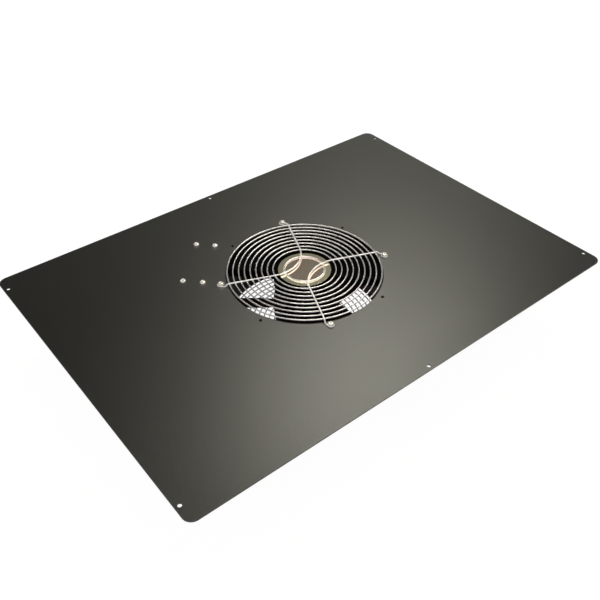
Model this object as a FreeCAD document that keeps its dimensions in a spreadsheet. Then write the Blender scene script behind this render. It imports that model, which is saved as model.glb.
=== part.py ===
"""Rack fan tray: a flat steel top panel with a guarded 254 mm axial fan under it.

The origin is the centre of the rack-hole pattern on the panel's underside.
+X runs along the panel's long side, and +Z points up, out of the rack.
All sizes are millimetres and live in the spreadsheet "Sizes".
"""
import FreeCAD, Part
import math
import os
import re

import Sketcher

Vector = FreeCAD.Vector
UP = Vector(0, 0, 1)
HORIZONTAL_AXIS_INDEX = -1
VERTICAL_AXIS_INDEX = -2
AXIS_START_INDEX = 1

SIZES = {
    # top panel
    "plate_length": 705.0,
    "plate_width": 500.0,
    "plate_thickness": 1.9,
    "plate_corner_radius": 12.7,
    "rack_hole_diameter": 5.2,
    "corner_hole_end_inset": 6.35,
    "corner_hole_side_inset": 26.2,
    "middle_hole_inset": 6.35,
    "cutout_rim": 9.0,
    # what the fan, both guards and the panel share
    "bolt_circle": 243.0,
    "bolt_hole_diameter": 4.5,
    "bolt_hole_angle": 22.5,
    # screws and nuts
    "screw_diameter": 4.17,
    "screw_head_diameter": 8.2,
    "screw_head_height": 2.9,
    "screw_head_round": 1.7,
    "recess_length": 4.6,
    "recess_width": 1.1,
    "recess_depth": 1.5,
    "nut_height": 3.2,
    "nut_corner_radius": 4.9,
    "screw_end": 1.6,
    # fan housing
    "fan_depth": 88.9,
    "flange_rim": 5.5,
    "flange_thickness": 4.0,
    "mouth_flare": 2.5,
    "mouth_depth": 12.0,
    "barrel_inset": 9.0,
    "barrel_wall": 3.0,
    "flange_root": 2.6,
    "strut_count": 4,
    "strut_angle": 45.0,
    "strut_width": 7.0,
    "strut_depth": 12.0,
    "motor_drop": 3.0,
    "motor_base_lip": 1.0,
    "motor_base_height": 16.0,
    "motor_base_wall": 2.0,
    "motor_plate_thickness": 3.0,
    "boss_wall": 4.0,
    "boss_height": 7.0,
    # bearings and shaft
    "tube_wall": 2.0,
    "bearing_diameter": 22.0,
    "bearing_width": 7.0,
    "bearing_ring_wall": 1.5,
    "shaft_diameter": 8.0,
    "ball_count": 7,
    "ball_clearance": 0.02,
    "tube_overhang": 3.0,
    "upper_bearing_drop": 10.0,
    "lower_bearing_rise": 28.9,
    "shaft_end": 2.4,
    "washer_thickness": 0.8,
    "clip_thickness": 0.8,
    "clip_groove_depth": 0.8,
    "clip_rim": 2.5,
    "cap_thickness": 3.0,
    # stator
    "stator_drop": 32.0,
    "winding_floor_gap": 13.9,
    "slot_count": 12,
    "slot_width": 5.0,
    "core_wall": 6.0,
    "slot_rim": 4.5,
    "end_turn_height": 8.5,
    # rotor
    "rotor_diameter": 87.0,
    "rotor_wall": 1.5,
    "rotor_gap": 1.5,
    "rotor_floor": 2.0,
    "rotor_foot_gap": 0.5,
    "hub_clearance": 1.0,
    "hub_step": 1.0,
    "cage_wall": 3.1,
    "cage_overhang": 2.0,
    "air_gap": 0.4,
    "band_wall": 1.5,
    "band_height": 31.0,
    "blade_height": 29.4,
    "blade_count": 5,
    "blade_angle": 68.7,
    "blade_rise": 24.0,
    "blade_thickness": 1.6,
    "blade_camber": 1.5,
    "blade_root_chord": 46.0,
    "blade_middle_chord": 36.0,
    "blade_tip_chord": 26.0,
    "tip_gap": 2.2,
    # wire guards
    "wire_diameter": 2.0,
    "ring_height": 3.33,
    "ring_count": 9,
    "ring_radius": 44.9,
    "outer_ring_inset": 11.48,
    "inner_ring_radius": 28.6,
    "disc_diameter": 75.6,
    "disc_thickness": 1.0,
    "support_offset": 6.1,
    "support_bend_radius": 52.0,
    "support_foot_inset": 4.8,
    "support_landing": 4.3,
    "support_corner_radius": 2.0,
    "eyelet_radius": 4.0,
    "eyelet_gap": 80.0,
    # terminal block on the fan
    "block_width": 26.0,
    "block_thickness": 9.0,
    "block_height": 15.0,
    "block_drop": 34.0,
    "tab_width": 6.3,
    "tab_thickness": 0.8,
    "tab_length": 9.0,
    "tab_spacing": 14.0,
    # connection box under the panel
    "box_angle": 135.0,
    "box_gap": 2.4,
    "box_length": 104.0,
    "box_width": 46.0,
    "box_depth": 45.0,
    "box_wall": 1.2,
    "box_hole_end_inset": 8.4,
    "box_hole_side_inset": 8.9,
    "cover_tab": 9.0,
    "cover_screw_diameter": 3.5,
    "cover_screw_inset": 5.0,
    "cover_head_diameter": 6.6,
    "cover_head_height": 2.2,
    "cover_head_round": 1.2,
    "gland_drop": 24.0,
    "gland_bore": 8.0,
    "gland_thread": 16.0,
    "gland_shoulder": 22.0,
    "gland_shoulder_length": 5.0,
    "gland_cap_diameter": 20.0,
    "gland_cap_length": 11.0,
    "gland_cap_taper": 3.0,
    "gland_neck_length": 6.6,
    "gland_neck_step": 1.0,
    "gland_nut_thickness": 4.0,
    "gland_nut_corner_radius": 12.0,
    "gland_thread_end": 1.2,
    "bushing_bore": 9.0,
    "bushing_neck": 12.7,
    "bushing_neck_length": 3.6,
    "bushing_flange": 17.0,
    "bushing_flange_thickness": 1.6,
    "strip_length": 40.0,
    "strip_width": 18.0,
    "strip_height": 14.0,
    "pole_count": 3,
    "pole_spacing": 12.0,
    "clamp_width": 7.0,
    "clamp_length": 12.0,
    "clamp_height": 5.0,
    "clamp_screw_diameter": 4.0,
    "clamp_screw_height": 1.6,
}

# Each guard hangs on four arms, and the fan has two bolt holes to an arm.
ARM_COUNT = 4
HOLE_COUNT = 2 * ARM_COUNT

# Radii and heights that several pieces share, as formulas of the sizes above.
BOLT_RADIUS = "(bolt_circle / 2)"
CUTOUT_RADIUS = "(bolt_circle / 2 - cutout_rim)"
FLANGE_RADIUS = "(bolt_circle / 2 + flange_rim)"
BARREL_RADIUS = "(bolt_circle / 2 - barrel_inset)"
THROAT_RADIUS = "(bolt_circle / 2 - barrel_inset - barrel_wall)"
MOUTH_RADIUS = "(bolt_circle / 2 - barrel_inset - barrel_wall + mouth_flare)"
BASE_RADIUS = "(rotor_diameter / 2 + motor_base_lip)"
TUBE_RADIUS = "(bearing_diameter / 2 + tube_wall)"
INNER_RING_RADIUS = "(shaft_diameter / 2 + bearing_ring_wall)"
OUTER_RING_BORE = "(bearing_diameter / 2 - bearing_ring_wall)"
CUP_BORE = "(rotor_diameter / 2 - rotor_wall)"
STATOR_RADIUS = "(rotor_diameter / 2 - rotor_wall - cage_wall - air_gap)"
SLOT_INNER_RADIUS = "(bearing_diameter / 2 + tube_wall + core_wall)"
SLOT_OUTER_RADIUS = "(rotor_diameter / 2 - rotor_wall - cage_wall - air_gap - slot_rim)"
SCREWED_HOLE_ANGLE = "bolt_hole_angle + %r" % (360 / HOLE_COUNT)
TUBE_TOP = "-motor_drop - cap_thickness"
UPPER_BEARING_TOP = "-motor_drop - upper_bearing_drop"
LOWER_BEARING_TOP = "lower_bearing_rise - fan_depth"
ROTOR_FOOT = "rotor_foot_gap - fan_depth"
ROTOR_TOP = "-motor_drop - motor_base_height - rotor_gap"
STATOR_TOP = "-stator_drop"
STATOR_FOOT = ROTOR_FOOT + " + rotor_floor + winding_floor_gap + end_turn_height"
RING_LEVEL = "plate_thickness + ring_height"
BOX_DISTANCE = "(bolt_circle / 2 + flange_rim + box_gap + box_width / 2)"
BOX_HOLE_ACROSS = "(box_width / 2 - box_hole_side_inset)"
BOX_HOLE_ALONG = "(box_length / 2 - box_hole_end_inset)"
COVER_SCREW_ALONG = "(box_length / 2 - box_wall - cover_screw_inset)"
GLAND_LEVEL = "-gland_drop"

doc = FreeCAD.newDocument("rack_fan_tray")
sheet = doc.addObject("Spreadsheet::Sheet", "Sizes")
for row, (alias, value) in enumerate(SIZES.items(), start=1):
    sheet.set("A%d" % row, alias)
    sheet.set("B%d" % row, repr(value))
    sheet.setAlias("B%d" % row, alias)
doc.recompute()

nodes = []


def sized(formula):
    """The formula with each size's name turned into a reference to its cell."""
    return re.sub(r"[a-z]\w*", lambda word: "Sizes." + word.group()
                  if word.group() in SIZES else word.group(), formula)


def size(alias):
    """The number now in a size's cell."""
    return float(sheet.get(alias))


def bind(thing, **formulas):
    """Tie properties to formulas; place_x, place_y, place_z and turn tie its place."""
    paths = {"place_x": ".Placement.Base.x", "place_y": ".Placement.Base.y",
             "place_z": ".Placement.Base.z", "turn": ".Placement.Rotation.Angle"}
    for name, formula in formulas.items():
        thing.setExpression(paths.get(name, name), sized(formula))
    return thing


def node(thing, label):
    """Keep a finished piece under the name that its file gets."""
    thing.Label = label
    nodes.append(thing)
    return thing


# ---------------------------------------------------------------- sketches

def new_body(name):
    return doc.addObject("PartDesign::Body", name)


def new_sketch(body, role, height="0", turn="0"):
    """A sketch on one of the body's own planes, raised and turned by formulas."""
    plane = next(item for item in body.Origin.OriginFeatures if item.Role == role)
    sketch = body.newObject("Sketcher::SketchObject", body.Name + "_sketch")
    sketch.AttachmentSupport = [(plane, "")]
    sketch.MapMode = "FlatFace"
    sketch.AttachmentOffset = FreeCAD.Placement(Vector(), FreeCAD.Rotation(UP, 1.0))
    sketch.setExpression(".AttachmentOffset.Base.z", sized(height))
    sketch.setExpression(".AttachmentOffset.Rotation.Angle", sized(turn))
    return sketch


def pin_point(sketch, geometry, point, x, y):
    """Hold a point of the sketch at two formulas from its origin."""
    if x == "0":
        sketch.addConstraint(Sketcher.Constraint("PointOnObject", geometry, point, VERTICAL_AXIS_INDEX))
    else:
        index = sketch.addConstraint(Sketcher.Constraint(
            "DistanceX", HORIZONTAL_AXIS_INDEX, AXIS_START_INDEX, geometry, point, 1.0 + geometry))
        sketch.setExpression("Constraints[%d]" % index, sized(x))
    if y == "0":
        sketch.addConstraint(Sketcher.Constraint("PointOnObject", geometry, point, HORIZONTAL_AXIS_INDEX))
    else:
        index = sketch.addConstraint(Sketcher.Constraint(
            "DistanceY", HORIZONTAL_AXIS_INDEX, AXIS_START_INDEX, geometry, point, 1.0 + geometry))
        sketch.setExpression("Constraints[%d]" % index, sized(y))


def draw_polygon(sketch, corners):
    """A closed outline through corners that are given as pairs of formulas."""
    first = sketch.GeometryCount
    count = len(corners)
    around = [Vector(math.cos(turn), math.sin(turn), 0)
              for turn in (2 * math.pi * step / count for step in range(count))]
    for step in range(count):
        sketch.addGeometry(Part.LineSegment(around[step], around[(step + 1) % count]), False)
    for step in range(count):
        sketch.addConstraint(Sketcher.Constraint(
            "Coincident", first + step, 2, first + (step + 1) % count, 1))
    for step, (x, y) in enumerate(corners):
        pin_point(sketch, first + step, 1, x, y)


def draw_rectangle(sketch, low_x, low_y, high_x, high_y):
    draw_polygon(sketch, [(low_x, low_y), (high_x, low_y), (high_x, high_y), (low_x, high_y)])


def draw_circle(sketch, x, y, diameter):
    """A circle whose centre and diameter are formulas."""
    index = sketch.addGeometry(Part.Circle(Vector(1, 1, 0), UP, 1.0), False)
    pin_point(sketch, index, 3, x, y)
    ring = sketch.addConstraint(Sketcher.Constraint("Diameter", index, 2.0))
    sketch.setExpression("Constraints[%d]" % ring, sized(diameter))


# ---------------------------------------------------------------- features

def pad(body, sketch, length, downwards=False):
    feature = body.newObject("PartDesign::Pad", body.Name + "_pad")
    feature.Profile = sketch
    feature.Reversed = downwards
    bind(feature, Length=length)
    body.Tip = feature
    doc.recompute()
    return feature


def cut_through(body, sketch):
    """Pocket a sketch right through the body, both ways from its plane."""
    before = body.Shape.Volume
    feature = body.newObject("PartDesign::Pocket", body.Name + "_pocket")
    feature.Profile = sketch
    feature.Type = "ThroughAll"
    feature.Midplane = True
    return check_cut(body, feature, before)


def cut_to(body, sketch, depth, upwards=False):
    """Pocket a sketch to a depth, downwards unless upwards is asked for."""
    before = body.Shape.Volume
    feature = body.newObject("PartDesign::Pocket", body.Name + "_pocket")
    feature.Profile = sketch
    feature.Reversed = upwards
    bind(feature, Length=depth)
    return check_cut(body, feature, before)


def turn_away(body, sketch):
    """Cut away what the sketch sweeps as it turns once about Z."""
    before = body.Shape.Volume
    feature = body.newObject("PartDesign::Groove", body.Name + "_groove")
    feature.Profile = sketch
    feature.ReferenceAxis = (sketch, ["V_Axis"])
    feature.Angle = 360
    return check_cut(body, feature, before)


def check_cut(body, feature, volume_before):
    body.Tip = feature
    doc.recompute()
    if body.Shape.Volume >= volume_before:
        raise RuntimeError(feature.Name + " removed nothing")
    return feature


def repeat_around(body, feature, count):
    """Repeat the last feature evenly about the body's own Z axis."""
    pattern = body.newObject("PartDesign::PolarPattern", body.Name + "_pattern")
    pattern.Originals = [feature]
    axis = next(item for item in body.Origin.OriginFeatures if item.Role == "Z_Axis")
    pattern.Axis = (axis, [""])
    pattern.Angle = 360
    bind(pattern, Occurrences=count)
    body.Tip = pattern
    doc.recompute()
    return pattern


def round_edges(body, feature, radius, wanted):
    """Fillet the edges that the test picks out."""
    names = ["Edge%d" % number for number, edge in enumerate(feature.Shape.Edges, start=1)
             if wanted(edge)]
    fillet = body.newObject("PartDesign::Fillet", body.Name + "_fillet")
    fillet.Base = (feature, names)
    bind(fillet, Radius=radius)
    body.Tip = fillet
    doc.recompute()
    return fillet


def turned(name, *profiles):
    """A body turned about Z from closed profiles of (radius, height) formulas."""
    body = new_body(name)
    sketch = new_sketch(body, "XZ_Plane")
    for profile in profiles:
        draw_polygon(sketch, profile)
    feature = body.newObject("PartDesign::Revolution", name + "_turning")
    feature.Profile = sketch
    feature.ReferenceAxis = (sketch, ["V_Axis"])
    feature.Angle = 360
    body.Tip = feature
    doc.recompute()
    return body


def ring_profile(inner, outer, low, high):
    return [(inner, low), (outer, low), (outer, high), (inner, high)]


def box(length, width, height, x="0", y="0", z="0"):
    """A block centred on x and y, standing on z."""
    block = doc.addObject("Part::Box", "block")
    bind(block, Length=length, Width=width, Height=height,
         place_x="(%s) - (%s) / 2" % (x, length),
         place_y="(%s) - (%s) / 2" % (y, width), place_z=z)
    return block


def cylinder(radius, height, x="0", y="0", z="0"):
    """An upright cylinder standing on z."""
    rod = doc.addObject("Part::Cylinder", "rod")
    return bind(rod, Radius=radius, Height=height, place_x=x, place_y=y, place_z=z)


def lying_cylinder(radius, length, x, y, z, along):
    """A cylinder that starts at a point and runs along the unit vector."""
    rod = doc.addObject("Part::Cylinder", "rod")
    rod.Placement = FreeCAD.Placement(Vector(), FreeCAD.Rotation(UP, along))
    return bind(rod, Radius=radius, Height=length, place_x=x, place_y=y, place_z=z)


def fuse(*things):
    result = doc.addObject("Part::MultiFuse", "joined")
    result.Shapes = list(things)
    return result


def cut(base, tool):
    result = doc.addObject("Part::Cut", "trimmed")
    result.Base = base
    result.Tool = tool
    return result


def group(*things):
    result = doc.addObject("Part::Compound", "group")
    result.Links = list(things)
    return result


def moved(thing, x="0", y="0", z="0", turn="0"):
    """The thing again, turned about Z and then shifted."""
    result = group(thing)
    result.Placement = FreeCAD.Placement(Vector(), FreeCAD.Rotation(UP, 1.0))
    return bind(result, place_x=x, place_y=y, place_z=z, turn=turn)


# ---------------------------------------------------------------- screws and nuts

def screw(length, diameter="screw_diameter", head="screw_head_diameter",
          head_height="screw_head_height", head_round="screw_head_round"):
    """A pan-head cross-recess screw: its head stands on z = 0 and its shank hangs below."""
    blank = cylinder("(%s) / 2" % head, head_height)
    doc.recompute()
    top = max(range(len(blank.Shape.Edges)),
              key=lambda place: blank.Shape.Edges[place].CenterOfMass.z)
    dome = doc.addObject("Part::Fillet", "dome")
    dome.Base = blank
    dome.Edges = [(top + 1, size(head_round), size(head_round))]
    shank = cylinder("(%s) / 2" % diameter, length, z="-(%s)" % length)
    depth = "(%s) - recess_depth" % head_height
    recess = fuse(box("recess_length", "recess_width", "recess_depth", z=depth),
                  box("recess_width", "recess_length", "recess_depth", z=depth))
    return cut(fuse(dome, shank), recess)


def nut():
    """A hexagon nut hanging from z = 0, bored to the screw's size."""
    hexagon = doc.addObject("Part::Prism", "hexagon")
    hexagon.Polygon = 6
    bind(hexagon, Circumradius="nut_corner_radius", Height="nut_height", place_z="-nut_height")
    return cut(hexagon, cylinder("screw_diameter / 2", "nut_height", z="-nut_height"))


def turned_over(thing, x="0", y="0", z="0"):
    """The thing again, turned upside down about X and then shifted."""
    result = group(thing)
    result.Placement = FreeCAD.Placement(Vector(), FreeCAD.Rotation(Vector(1, 0, 0), 180))
    return bind(result, place_x=x, place_y=y, place_z=z)


def on_lower_face(thing):
    """What stands on the panel, turned over onto the fan's lower face."""
    return turned_over(thing, z="plate_thickness - fan_depth")


def at_screwed_holes(thing, height):
    """The thing at every second bolt hole, where the guard's arms end."""
    copies = []
    for arm in range(ARM_COUNT):
        angle = "%s + %r" % (SCREWED_HOLE_ANGLE, 360 / ARM_COUNT * arm)
        copies.append(moved(thing, x="%s * cos(%s)" % (BOLT_RADIUS, angle),
                            y="%s * sin(%s)" % (BOLT_RADIUS, angle), z=height, turn=angle))
    return group(*copies)


def at_box_holes(thing, height):
    """The thing at each of the four holes that hold the connection box."""
    copies = []
    for side in ("-", "+"):
        for end in ("-", "+"):
            copies.append(moved(thing, x="%s %s %s" % (BOX_DISTANCE, side, BOX_HOLE_ACROSS),
                                y="0 %s %s" % (end, BOX_HOLE_ALONG), z=height))
    return moved(group(*copies), turn="box_angle")


# ---------------------------------------------------------------- top panel

def is_upright(edge):
    direction = edge.tangentAt(edge.FirstParameter)
    return abs(direction.z) > 0.99


def drill_bolt_holes(body):
    """The ring of holes that the panel and both flanges of the fan share."""
    bolt_hole = new_sketch(body, "XY_Plane", turn="bolt_hole_angle")
    draw_circle(bolt_hole, BOLT_RADIUS, "0", "bolt_hole_diameter")
    repeat_around(body, cut_through(body, bolt_hole), str(HOLE_COUNT))


def make_top_plate():
    body = new_body("top_plate")
    outline = new_sketch(body, "XY_Plane")
    draw_rectangle(outline, "-plate_length / 2", "-plate_width / 2",
                   "plate_length / 2", "plate_width / 2")
    blank = pad(body, outline, "plate_thickness")
    round_edges(body, blank, "plate_corner_radius", is_upright)

    openings = new_sketch(body, "XY_Plane")
    draw_circle(openings, "0", "0", "2 * " + CUTOUT_RADIUS)
    for side in ("", "-"):
        draw_circle(openings, "0", side + "(plate_width / 2 - middle_hole_inset)",
                    "rack_hole_diameter")
        for end in ("", "-"):
            draw_circle(openings, end + "(plate_length / 2 - corner_hole_end_inset)",
                        side + "(plate_width / 2 - corner_hole_side_inset)",
                        "rack_hole_diameter")
    cut_through(body, openings)

    drill_bolt_holes(body)

    box_holes = new_sketch(body, "XY_Plane", turn="box_angle")
    draw_box_holes(box_holes)
    cut_through(body, box_holes)
    node(body, "top_plate")


def draw_box_holes(sketch):
    for side in ("-", "+"):
        for end in ("-", "+"):
            draw_circle(sketch, "%s %s %s" % (BOX_DISTANCE, side, BOX_HOLE_ACROSS),
                        "0 %s %s" % (end, BOX_HOLE_ALONG), "bolt_hole_diameter")


# ---------------------------------------------------------------- fan housing

def make_fan_housing():
    """A cast venturi ring with two flanges."""
    root_radius = BARREL_RADIUS + " + flange_root"
    barrel = [
        (MOUTH_RADIUS, "0"),
        (THROAT_RADIUS, "-mouth_depth"),
        (THROAT_RADIUS, "mouth_depth - fan_depth"),
        (MOUTH_RADIUS, "-fan_depth"),
        (FLANGE_RADIUS, "-fan_depth"),
        (FLANGE_RADIUS, "flange_thickness - fan_depth"),
        (root_radius, "flange_thickness - fan_depth"),
        (BARREL_RADIUS, "flange_thickness + flange_root - fan_depth"),
        (BARREL_RADIUS, "-flange_thickness - flange_root"),
        (root_radius, "-flange_thickness"),
        (FLANGE_RADIUS, "-flange_thickness"),
        (FLANGE_RADIUS, "0"),
    ]
    body = turned("fan_housing", barrel)
    drill_bolt_holes(body)
    node(body, "fan_housing")


def make_motor_mount():
    """The spider that holds the motor: a base with its boss, and struts that end at the ring."""
    plate_under = "-motor_drop - motor_plate_thickness"
    skirt_radius = BASE_RADIUS + " - motor_base_wall"
    boss_radius = TUBE_RADIUS + " + boss_wall"
    base = [
        (TUBE_RADIUS, "-motor_drop"),
        (BASE_RADIUS, "-motor_drop"),
        (BASE_RADIUS, "-motor_drop - motor_base_height"),
        (skirt_radius, "-motor_drop - motor_base_height"),
        (skirt_radius, plate_under),
        (boss_radius, plate_under),
        (boss_radius, plate_under + " - boss_height"),
        (TUBE_RADIUS, plate_under + " - boss_height"),
    ]
    body = turned("motor_mount", base)
    strut = new_sketch(body, "XY_Plane", height="-motor_drop", turn="strut_angle")
    draw_rectangle(strut, BASE_RADIUS + " - motor_base_wall / 2", "-strut_width / 2",
                   MOUTH_RADIUS, "strut_width / 2")
    repeat_around(body, pad(body, strut, "strut_depth", downwards=True), "strut_count")
    ring = new_sketch(body, "XZ_Plane")
    draw_polygon(ring, [(MOUTH_RADIUS, "0"), (THROAT_RADIUS, "-mouth_depth"),
                        (THROAT_RADIUS, "-fan_depth"), (FLANGE_RADIUS, "-fan_depth"),
                        (FLANGE_RADIUS, "0")])
    turn_away(body, ring)
    node(body, "motor_mount")


def make_terminal_block():
    """The block on the fan's barrel that the supply leads plug onto, and its two tabs."""
    under = "-block_drop - block_height"
    blank = box("block_thickness + barrel_wall", "block_width", "block_height",
                x=BARREL_RADIUS + " + block_thickness / 2 - barrel_wall / 2", z=under)
    block = cut(blank, cylinder(BARREL_RADIUS, "block_height", z=under))
    node(moved(block, turn="box_angle"), "terminal_block")
    tabs = [box("tab_thickness", "tab_width", "tab_length",
                x=BARREL_RADIUS + " + block_thickness / 2",
                y="%s tab_spacing / 2" % side, z=under + " - tab_length")
            for side in ("0 -", "0 +")]
    node(moved(group(*tabs), turn="box_angle"), "terminal_tabs")


# ---------------------------------------------------------------- bearings and stator

def make_bearings():
    node(turned("dust_cap", [("0", TUBE_TOP), (TUBE_RADIUS, TUBE_TOP),
                             (TUBE_RADIUS, "-motor_drop"), ("0", "-motor_drop")]),
         "dust_cap")
    tube_foot = LOWER_BEARING_TOP + " - bearing_width - tube_overhang"
    node(turned("bearing_tube", ring_profile("bearing_diameter / 2", TUBE_RADIUS,
                                             tube_foot, TUBE_TOP)), "bearing_tube")
    node(turned("bearing_spacer", ring_profile(OUTER_RING_BORE, "bearing_diameter / 2",
                                               LOWER_BEARING_TOP,
                                               UPPER_BEARING_TOP + " - bearing_width")),
         "bearing_spacer")
    tops = (UPPER_BEARING_TOP, LOWER_BEARING_TOP)
    outer = [ring_profile(OUTER_RING_BORE, "bearing_diameter / 2", top + " - bearing_width", top)
             for top in tops]
    inner = [ring_profile("shaft_diameter / 2", INNER_RING_RADIUS, top + " - bearing_width", top)
             for top in tops]
    node(turned("bearing_outer_rings", *outer), "bearing_outer_rings")
    node(turned("bearing_inner_rings", *inner), "bearing_inner_rings")
    balls = []
    for top in tops:
        ball = doc.addObject("Part::Sphere", "ball")
        bind(ball, Radius="(%s - (%s)) / 2 - ball_clearance" % (OUTER_RING_BORE, INNER_RING_RADIUS),
             place_x="(%s + %s) / 2" % (OUTER_RING_BORE, INNER_RING_RADIUS),
             place_z=top + " - bearing_width / 2")
        for step in range(int(size("ball_count"))):
            balls.append(moved(ball, turn="360 / ball_count * %d" % step))
    node(group(*balls), "bearing_balls")


def slot_sketch(body, height="0"):
    sketch = new_sketch(body, "XY_Plane", height=height)
    draw_rectangle(sketch, SLOT_INNER_RADIUS, "-slot_width / 2",
                   SLOT_OUTER_RADIUS, "slot_width / 2")
    return sketch


def make_stator():
    """A slotted lamination stack on the bearing tube, and its windings."""
    stack = turned("stator_stack", ring_profile(TUBE_RADIUS, STATOR_RADIUS,
                                                STATOR_FOOT, STATOR_TOP))
    repeat_around(stack, cut_through(stack, slot_sketch(stack)), "slot_count")
    node(stack, "stator_stack")
    upper = ring_profile(SLOT_INNER_RADIUS, SLOT_OUTER_RADIUS,
                         STATOR_TOP, STATOR_TOP + " + end_turn_height")
    lower = ring_profile(SLOT_INNER_RADIUS, SLOT_OUTER_RADIUS,
                         STATOR_FOOT + " - end_turn_height", STATOR_FOOT)
    windings = turned("stator_windings", upper, lower)
    stack_height = "%s - (%s)" % (STATOR_TOP, STATOR_FOOT)
    bar = pad(windings, slot_sketch(windings, STATOR_TOP), stack_height, downwards=True)
    repeat_around(windings, bar, "slot_count")
    node(windings, "stator_windings")


# ---------------------------------------------------------------- rotor

def make_rotor():
    """The outer-rotor cup with its shaft, cage ring, clip and preload washer."""
    inner_ring_foot = LOWER_BEARING_TOP + " - bearing_width"
    hub_top = inner_ring_foot + " - hub_step"
    hub_radius = "bearing_diameter / 2 - hub_clearance"
    floor = ROTOR_FOOT + " + rotor_floor"
    node(turned("rotor_cup", [
        ("shaft_diameter / 2", ROTOR_FOOT), ("rotor_diameter / 2", ROTOR_FOOT),
        ("rotor_diameter / 2", ROTOR_TOP), (CUP_BORE, ROTOR_TOP),
        (CUP_BORE, floor), (hub_radius, floor),
        (hub_radius, hub_top), (INNER_RING_RADIUS, hub_top),
        (INNER_RING_RADIUS, inner_ring_foot), ("shaft_diameter / 2", inner_ring_foot)]),
        "rotor_cup")
    node(turned("rotor_cage", ring_profile(STATOR_RADIUS + " + air_gap", CUP_BORE,
                                           STATOR_FOOT + " - cage_overhang",
                                           STATOR_TOP + " + cage_overhang")), "rotor_cage")
    groove_foot = UPPER_BEARING_TOP + " + washer_thickness"
    groove_top = groove_foot + " + clip_thickness"
    groove_radius = "shaft_diameter / 2 - clip_groove_depth"
    shaft_top = groove_top + " + shaft_end"
    node(turned("rotor_shaft", [
        ("0", ROTOR_FOOT), ("shaft_diameter / 2", ROTOR_FOOT),
        ("shaft_diameter / 2", groove_foot), (groove_radius, groove_foot),
        (groove_radius, groove_top), ("shaft_diameter / 2", groove_top),
        ("shaft_diameter / 2", shaft_top), ("0", shaft_top)]), "rotor_shaft")
    node(turned("preload_washer", ring_profile("shaft_diameter / 2", INNER_RING_RADIUS,
                                               UPPER_BEARING_TOP, groove_foot)),
         "preload_washer")
    node(turned("shaft_clip", ring_profile(groove_radius, "shaft_diameter / 2 + clip_rim",
                                           groove_foot, groove_top)), "shaft_clip")


def blade_outline(reach, chord):
    """A thin cambered outline that lies across the blade's own axis at one reach."""
    half_chord = chord / 2
    half_thickness = size("blade_thickness") / 2
    rise = size("blade_rise") * math.atan2(half_chord, reach)

    def arc(lift, *stations):
        heights = {-1: -rise, 0: size("blade_camber"), 1: rise}
        points = [Vector(reach, half_chord * station, heights[station] + lift)
                  for station in stations]
        return Part.Arc(*points).toShape()

    upper = arc(half_thickness, -1, 0, 1)
    lower = arc(-half_thickness, 1, 0, -1)
    ends = [Part.LineSegment(upper.Vertexes[1].Point, lower.Vertexes[0].Point).toShape(),
            Part.LineSegment(lower.Vertexes[1].Point, upper.Vertexes[0].Point).toShape()]
    outline = doc.addObject("Part::Feature", "blade_outline")
    outline.Shape = Part.Wire([upper, ends[0], lower, ends[1]])
    return outline


def make_impeller():
    """A band pressed on the rotor cup, with twisted blades trimmed to the fan's throat."""
    band_radius = "rotor_diameter / 2 + band_wall"
    tip_radius = THROAT_RADIUS + " - tip_gap"
    blade_level = "blade_height - fan_depth"
    root_reach = math.sqrt((size("rotor_diameter") / 2) ** 2 - (size("blade_root_chord") / 2) ** 2)
    tip_reach = size("bolt_circle") / 2 - size("barrel_inset") - size("barrel_wall")
    blade = doc.addObject("Part::Loft", "blade")
    blade.Sections = [blade_outline(root_reach, size("blade_root_chord")),
                      blade_outline((root_reach + tip_reach) / 2, size("blade_middle_chord")),
                      blade_outline(tip_reach, size("blade_tip_chord"))]
    blade.Solid = True
    blades = [moved(blade, z=blade_level, turn="blade_angle + 360 / blade_count * %d" % step)
              for step in range(int(size("blade_count")))]
    foot = blade_level + " - band_height / 2"
    wheel = doc.addObject("Part::MultiCommon", "wheel")
    wheel.Shapes = [fuse(cylinder(band_radius, "band_height", z=foot), *blades),
                    cylinder(tip_radius, "band_height", z=foot)]
    node(cut(wheel, cylinder("rotor_diameter / 2", "band_height", z=foot)), "impeller")


# ---------------------------------------------------------------- wire guards

def bend(before, corner, after, radius):
    """The first, middle and last point of the arc that rounds a corner."""
    inward = (before - corner).normalize()
    outward = (after - corner).normalize()
    half = inward.getAngle(outward) / 2
    reach = radius / math.tan(half)
    bisector = (inward + outward).normalize()
    centre = corner + bisector * (radius / math.sin(half))
    return corner + inward * reach, centre - bisector * radius, corner + outward * reach


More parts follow.
